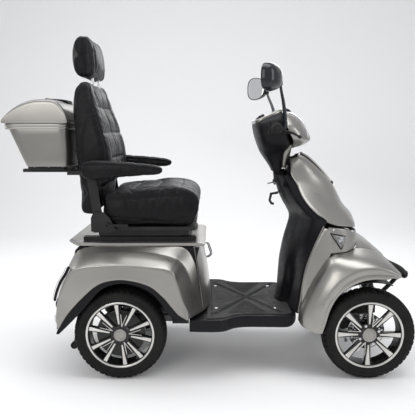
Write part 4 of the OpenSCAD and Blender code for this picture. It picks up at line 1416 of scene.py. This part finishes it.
def dash_shells():
    """Black rear shell of the tiller with its wings, and the silver cover over its front."""
    rows = []
    for z, x0, x1, half, power in ((886, 290, 336, 54, 3), (900, 284, 336, 54, 3),
                                   (925, 268, 337, 62, 3), (970, 238, 345, 90, 3.2),
                                   (1010, 222, 372, 136, 3.4), (1050, 210, 366, 156, 3.6),
                                   (1075, 205, 360, 160, 3.6), (1092, 202, 354, 159, 3.4),
                                   (1106, 204, 350, 154, 3.2), (1120, 226, 344, 146, 3.2),
                                   (1134, 262, 340, 132, 3), (1148, 296, 336, 116, 3)):
        rows.append(ring_of(((x0 + x1) / 2, 0, z), (x1 - x0) / 2, half, power, 72))
    piece("tiller_rear_shell", solid(stacked(rows, 44)), "black", "tiller", "dash_rear")
    table = [  # centre x, z; half width; side x, z
        (334, 1160, 62, 316, 1152), (378, 1152, 98, 322, 1140), (412, 1124, 126, 328, 1116),
        (438, 1084, 146, 338, 1088), (460, 1044, 148, 352, 1056), (456, 1028, 136, 366, 1030),
        (426, 1010, 108, 368, 1006), (394, 1002, 88, 366, 996),
    ]
    net = []
    for x, z, half, sx, sz in table:
        net.append(whole([(sx, half + 8, sz), (sx + 10, half + 10, sz),
                          (sx + (x - sx) * 0.45, half * 0.97, (z + sz) / 2 - 2),
                          (sx + (x - sx) * 0.86, half * 0.62, z - 4), (x - 2, half * 0.3, z - 1),
                          (x, 0, z)]))
    piece("tiller_front_cover", grid_mesh(surface(net, 54, 64)), "silver", "tiller", "dash_front",
          wall=PANEL)
    lines = [rod([(338, 70 * s, 1155), (376, 98 * s, 1140), (406, 122 * s, 1112),
                  (424, 136 * s, 1078), (436, 126 * s, 1042)], 2.6, 50, 10) for _, s in SIDES]
    piece("tiller_bright_lines", merged(*lines), "chrome", "tiller")
    fin = slab_mesh([(322, 1156), (346, 1176), (368, 1168), (384, 1150), (356, 1150)], -5, 5)
    piece("tiller_fin", fin, "shell", "tiller", edge=2.5)


def display_panel():
    """Slanted dashboard between the grips: bright surround, dark screen and two knobs."""
    a, b = Vector((207, 0, 1114)), Vector((318, 0, 1164))
    along = (b - a).normalized()
    up = Vector((-along.z, 0, along.x))

    def panel(grow, lift):
        ring = []
        mid = (a + b) / 2
        for p in ring_of((0, 0, 0), 64 + grow, 112 + grow, 5, 72):
            narrow = 1 - 0.22 * max(0, p[0] / 64)
            ring.append(mid + along * p[0] + up * lift + Vector((0, p[1] * narrow, 0)))
        return ring

    piece("dash_surround", grid_mesh([panel(6, -9), panel(6, -1), panel(3, 2.5), panel(-3, 3),
          panel(-7, 0.5)], ring=True), "silver", "tiller", wall=1.5)
    piece("dash_plate", solid([panel(-4, -3), panel(-4, 0.8), panel(-8, 1.4)]), "black", "tiller")
    piece("dash_screen", solid([panel(-26, 0), panel(-26, 3), panel(-29, 4)]), "screen", "tiller")
    knobs = []
    for y, r, h in ((-84, 15, 13), (84, 11, 7)):
        place = (a + b) / 2 - along * 30 + Vector((0, y, 0))
        knobs.append(lathe_mesh([(r + 3, 0), (r + 2, 2.5), (r, 3), (r - 1, h), (r - 3, h + 1.5),
                                 (TIP, h + 1.5)], place, tuple(up), 28,
                                lambda i, q, d: (q - (0.8 if i % 4 == 0 and d > 3.5 else 0), d)))
    piece("dash_knobs", merged(*knobs), "knob", "tiller")


def grip(name, node, body, s):
    """Ribbed rubber grip with a flange at each end."""
    profile = [(TIP, 340), (10, 340), (17, 338), (20, 334), (21, 330), (20, 326), (17, 324)]
    for i in range(14):
        y = 318 - i * 7
        profile += [(17.4, y + 2), (16.2, y + 0.6), (16.2, y - 0.6), (17.4, y - 2)]
    profile += [(17, 219), (22, 217), (22.5, 213), (21, 210), (12, 210)]
    shape = lathe_mesh(profile, (275, 0, BAR_Z), (0, s, 0), 48,
                       lambda i, r, h: (r + (0.5 * math.cos(i * math.pi / 4)
                                             if 222 < h < 320 else 0), h))
    piece(name, shape, "rubber", body, node, soft=35)


def switch_housings():
    """Clamped housings beside the grips, with a key bar above and below."""
    parts = []
    for _, s in SIDES:
        rows = []
        for y, k in ((168, 0.84), (171, 0.97), (176, 1.0), (200, 1.0), (206, 0.97), (209, 0.84)):
            rows.append([(283 + (x - 283) * k, y * s, BAR_Z + (z - BAR_Z) * k)
                         for x, z, _ in ring_of((283, 1080, 0), 18.5, 25, 3.4, 48)])
        parts.append(solid(rows))
        for dz, w in ((18, 5), (-16, 4)):
            z = BAR_Z + dz
            parts.append(rod([(254, (183 - w) * s, z), (251, 190 * s, z),
                              (254, (197 + w) * s, z)], 3, 12, 8))
    piece("switch_housings", merged(*parts), "black", "tiller")


def brake_lever(tag, s):
    """Curved blade with a ball end and a round boss on its pivot."""
    path = [(318, 190, 1066), (334, 208, 1065), (352, 236, 1061), (361, 280, 1053),
            (366, 318, 1046)]
    shape = rod([(x, y * s, z) for x, y, z in path], [7, 6, 5.5, 5, 5.4], 44, 14)
    ball = lathe_mesh([(TIP, -8), (5, -6.6), (8, 0), (5, 6.6), (TIP, 8)],
                      (366, 320 * s, 1046), (0, 1, 0), 24)
    boss = lathe_mesh([(TIP, -8), (8, -8), (9, -6), (9, 6), (8, 8), (TIP, 8)],
                      (318, 190 * s, 1066), (0, 0, 1), 28)
    piece("lever_blade_" + tag, merged(shape, ball, boss), "coat", "lever_" + tag,
          "brake_lever_" + tag)


def mirror(tag, s):
    """Mirror head: a bulging dark shell, its rim and the glass, turned to the rider."""
    face = Vector((-math.cos(math.radians(30)), -math.sin(math.radians(30)) * s, 0))
    wide = UP.cross(face).normalized() * -s
    centre = Vector((246, 304 * s, 1284))

    def ring(k, out):
        pts = []
        for p in ring_of((0, 0, 0), 74 * k, 57 * k, 2.9, 64):
            tall = 1 - 0.16 * max(0, -p[0] / 74)
            pts.append(centre + wide * p[0] + face * out + Vector((0, 0, p[1] * tall)))
        return pts

    node = "mirror_" + tag
    body = "mirror_left" if s > 0 else "mirror_right"
    shell = [ring(0.93, 8), ring(0.985, 11), ring(1.0, 9), ring(1.0, 3), ring(0.96, -8),
             ring(0.86, -20), ring(0.68, -30), ring(0.42, -37), ring(0.12, -40)]
    piece("mirror_shell_" + tag, solid(shell), "shell", body, node)
    glass = [ring(0.92, 7.5), ring(0.92, 9.4), ring(0.88, 9.9), ring(0.3, 10.2)]
    piece("mirror_glass_" + tag, solid(glass), "glass", body)
    arm = rod([tuple(centre - face * 24 + Vector((0, 0, -6))), (274, 276 * s, 1270),
               (288, 256 * s, 1264)], [12, 8, 6.5], 20)
    boss = lathe_mesh([(4.3, -9), (8.5, -9), (9, -7), (9, 8), (7, 11), (4.3, 11)],
                      (293, 250 * s, 1265), (0, 0, 1), 28)
    piece("mirror_arm_" + tag, merged(arm, boss), "shell", body)


def mirror_stalk(tag, s):
    """Bent stalk from a rubber boot on the tiller up to the mirror's pin."""
    path = [(330, 146, 1092), (325, 168, 1136), (313, 200, 1190), (298, 236, 1236),
            (293, 250, 1256)]
    shape = rod([(x, y * s, z) for x, y, z in path], [10, 8, 6.6, 6, 5.6], 44, 16)
    boot = lathe_mesh([(16, 0), (16, 8), (12, 12), (13, 16), (10.5, 20), (11, 25), (8, 32)],
                      (332, 138 * s, 1084), (-0.1, 0.5 * s, 1), 32)
    pin = lathe_mesh([(TIP, -4), (4, -4), (4, 22), (3, 24), (TIP, 24)],
                     (293, 250 * s, 1252), (0, 0, 1), 20)
    nodes = ("mirror_stalks",) if s == 1 else ()
    piece("mirror_stem_" + tag, merged(shape, boot, pin), "shell", "tiller", *nodes)


def neck_cover():
    """Painted neck in front of the column, under the tiller's front cover."""
    rows = [ring_of(((x0 + x1) / 2, 0, z), (x1 - x0) / 2, half, 2.6, 48)
            for z, x0, x1, half in ((900, 330, 356, 30), (930, 328, 366, 38),
                                    (965, 326, 376, 50), (1005, 324, 384, 66))]
    # the darker silver copy: painted shade on the neck under the front cover
    piece("tiller_neck_cover", solid(stacked(rows, 20)), "silver_painted_shade", "tiller")


def cowl_back():
    """Black panel that closes the back of the cowl behind the tiller."""
    rows = [whole([(378, 60, 948), (377, 30, 948), (376, 0, 948)]),
            whole([(376, 80, 912), (372, 40, 912), (370, 0, 912)]),
            whole([(368, 92, 876), (352, 46, 876), (344, 0, 876)])]
    piece("cowl_back", grid_mesh(surface(rows, 12, 20)), "black", "chassis", wall=2)


def tiller_neck():
    """Ribbed boot between the tiller's shell and the leg shield."""
    profile = []
    for i in range(8):
        profile += [(34 - i * 0.8, i * 7), (30 - i * 0.8, i * 7 + 3.5)]
    piece("tiller_boot", lathe_mesh(profile, (336, 0, 838), (-0.22, 0, 0.97), 40), "rubber",
          "tiller", wall=1.5)


# ---------------------------------------------------------------- springs and small parts

def helix(centre, axis, radius, wire, turns, length):
    """Round wire wound about an axis; its middle is at centre."""
    turn = UP.rotation_difference(Vector(axis))
    path = []
    steps = int(turns * 20)
    for i in range(steps + 1):
        a = FULL_TURN * turns * i / steps
        h = (i / steps - 0.5) * length
        path.append(Vector(centre) + turn @ Vector((radius * math.cos(a), radius * math.sin(a),
                                                   h)))
    return tube_mesh(path, wire, 8)


def springs():
    """Coil springs in the place of the plain rings of the frame."""
    low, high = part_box("rear_springs")
    low, high = low / MM, high / MM
    for tag, s in SIDES:
        centre = ((low.x + high.x) / 2, (high.y - 16.7) * s, (low.z + high.z) / 2)
        nodes = ("rear_springs",) if s == 1 else ()
        coil = helix(centre, (0, 0, 1), 14.5, 2.3, 8.5, high.z - low.z - 5)
        spring = piece("coil_" + tag, coil, "steel", "chassis", *nodes)
        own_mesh(spring)


# ---------------------------------------------------------------- the whole scooter

def make_looks():
    """Fills LOOKS: a material and a slot of the record for each look that a piece can have."""
    silver, shell = silver_paint(), gloss_plastic("mirror_shell", (0.012, 0.014, 0.018))
    LOOKS.update({
        "silver": (silver, "body_silver"),
        # the silver paint darkened to 0.8: painted shade for parts that lie in shadow
        "silver_painted_shade": (silver_paint("silver_shade", 0.8), "body_silver"),
        "cap": (silver, "alloy"),
        "black": (black_plastic(), "black_plastic"),
        "coat": (powder_coat(), "frame_paint"),
        "leather": (leather(), "leather_black"),
        # a lighter copy of the leather for faces turned up or forward: a painted highlight
        "leather_painted_highlight": (leather("leather_painted_highlight", (0.007, 0.007, 0.008)), "leather_black"),
        "tyre": (tyre_rubber(), "tyre_rubber"),
        "rubber": (soft_rubber(), "grip_rubber"),
        "mat": (soft_rubber("mat_rubber", (0.028, 0.028, 0.028)), "deck_rubber"),
        "steel": (bright_metal("bright_steel", (0.62, 0.62, 0.63), 0.14, 0.3), "steel_bright"),
        "chrome": (bright_metal("chrome", (0.8, 0.8, 0.81), 0.06, 0.16), "steel_bright"),
        "alloy": (bright_metal("alloy", (0.66, 0.65, 0.62), 0.2, 0.36), "alloy"),
        "rim_black": (gloss_plastic("rim_black", (0.008, 0.008, 0.008)), "alloy"),
        "shell": (shell, "mirror_shell"),
        "knob": (shell, "black_plastic"),
        "red": (lens("lamp_red", (0.42, 0.008, 0.01)), "lamp_red"),
        "clear": (lens("lamp_clear", (0.72, 0.74, 0.76)), "lamp_clear"),
        "glass": (mirror_glass(), "mirror_shell"),
        "screen": (screen_glass(), "black_plastic"),
        # two looks that only CAD nodes have, whose slots the record gives
        "cast": (cast_metal(), None),
        "horn": (gloss_plastic("horn_red", (0.4, 0.01, 0.01)), None),
    })


def dress_cad_nodes():
    """Gives each CAD node that stays in view the material of its look."""
    finish = {
        "coat": "frame front_axle seat_support front_bumper seat_rails rear_shock_tubes "
                "knuckle_l knuckle_r handlebar brake_lever_l brake_lever_r seat_frame "
                "back_frame seat_levers",
        "black": "deck_pan wheel_arch_liners leg_shield key charge_port anti_tip_rollers "
                 "dash_rear batteries",
        "silver": "rear_body rear_fenders front_cowl nose_hood front_fenders dash_front box_lid",
        # box_base takes the darker silver copy that paints shade
        "silver_painted_shade": "box_base",
        "steel": "ignition_lock rear_springs rear_shock_rods pitman_arm track_rod headrest_posts",
        "tyre": "rear_tyre_l rear_tyre_r front_tyre_l front_tyre_r",
        "alloy": "rear_rim_l rear_rim_r front_rim_l front_rim_r",
        "shell": "bag_hook mirror_l mirror_r mirror_stalks",
        "leather": "seat_cushion backrest headrest armrest_l armrest_r",
        "rubber": "left_grip throttle_grip",
        "mat": "deck_mat", "red": "tail_lamps", "clear": "front_lamps", "cast": "transaxle",
        "horn": "horn_button",
    }
    for name, nodes in finish.items():
        for node in nodes.split():
            for slot in bpy.data.objects[node].material_slots:
                slot.link = "OBJECT"
                slot.material = LOOKS[name][0]


def build_scooter():
    for tag, s in SIDES:
        for build in (rear_fender, rear_arch_band, tail_strip, side_panel, shield_trim, turn_lamp,
                      front_fender):
            build(tag, s)
        for end in ("front", "rear"):
            body = f"{end}_wheel_{tag}"
            tyre(f"{end}_tyre_{tag}", body)
            rim(f"{end}_rim_{tag}", body)
    for build in (rear_apron, seat_box_front, seat_plinth, inner_tub, tail_lamps, box_latch,
                  deck_skirt, deck_mat, leg_shield, front_cowl, cowl_ridge, front_fascia,
                  nose_hood, headlamp, nose_grille, front_bumper, seat_cushion, backrest,
                  headrest, recliner, box_shell, box_lid, dash_shells, display_panel):
        build()
    grip("left_grip_rubber", "left_grip", "tiller", 1)
    grip("throttle_rubber", "throttle_grip", "throttle", -1)
    for build in (switch_housings, tiller_neck, cowl_back, neck_cover, springs):
        build()
    for tag, s in SIDES:
        for build in (armrest, brake_lever, mirror, mirror_stalk):
            build(tag, s)


def main():
    make_camera()
    make_studio()
    make_floor()
    make_looks()
    dress_cad_nodes()
    build_scooter()
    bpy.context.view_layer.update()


main()
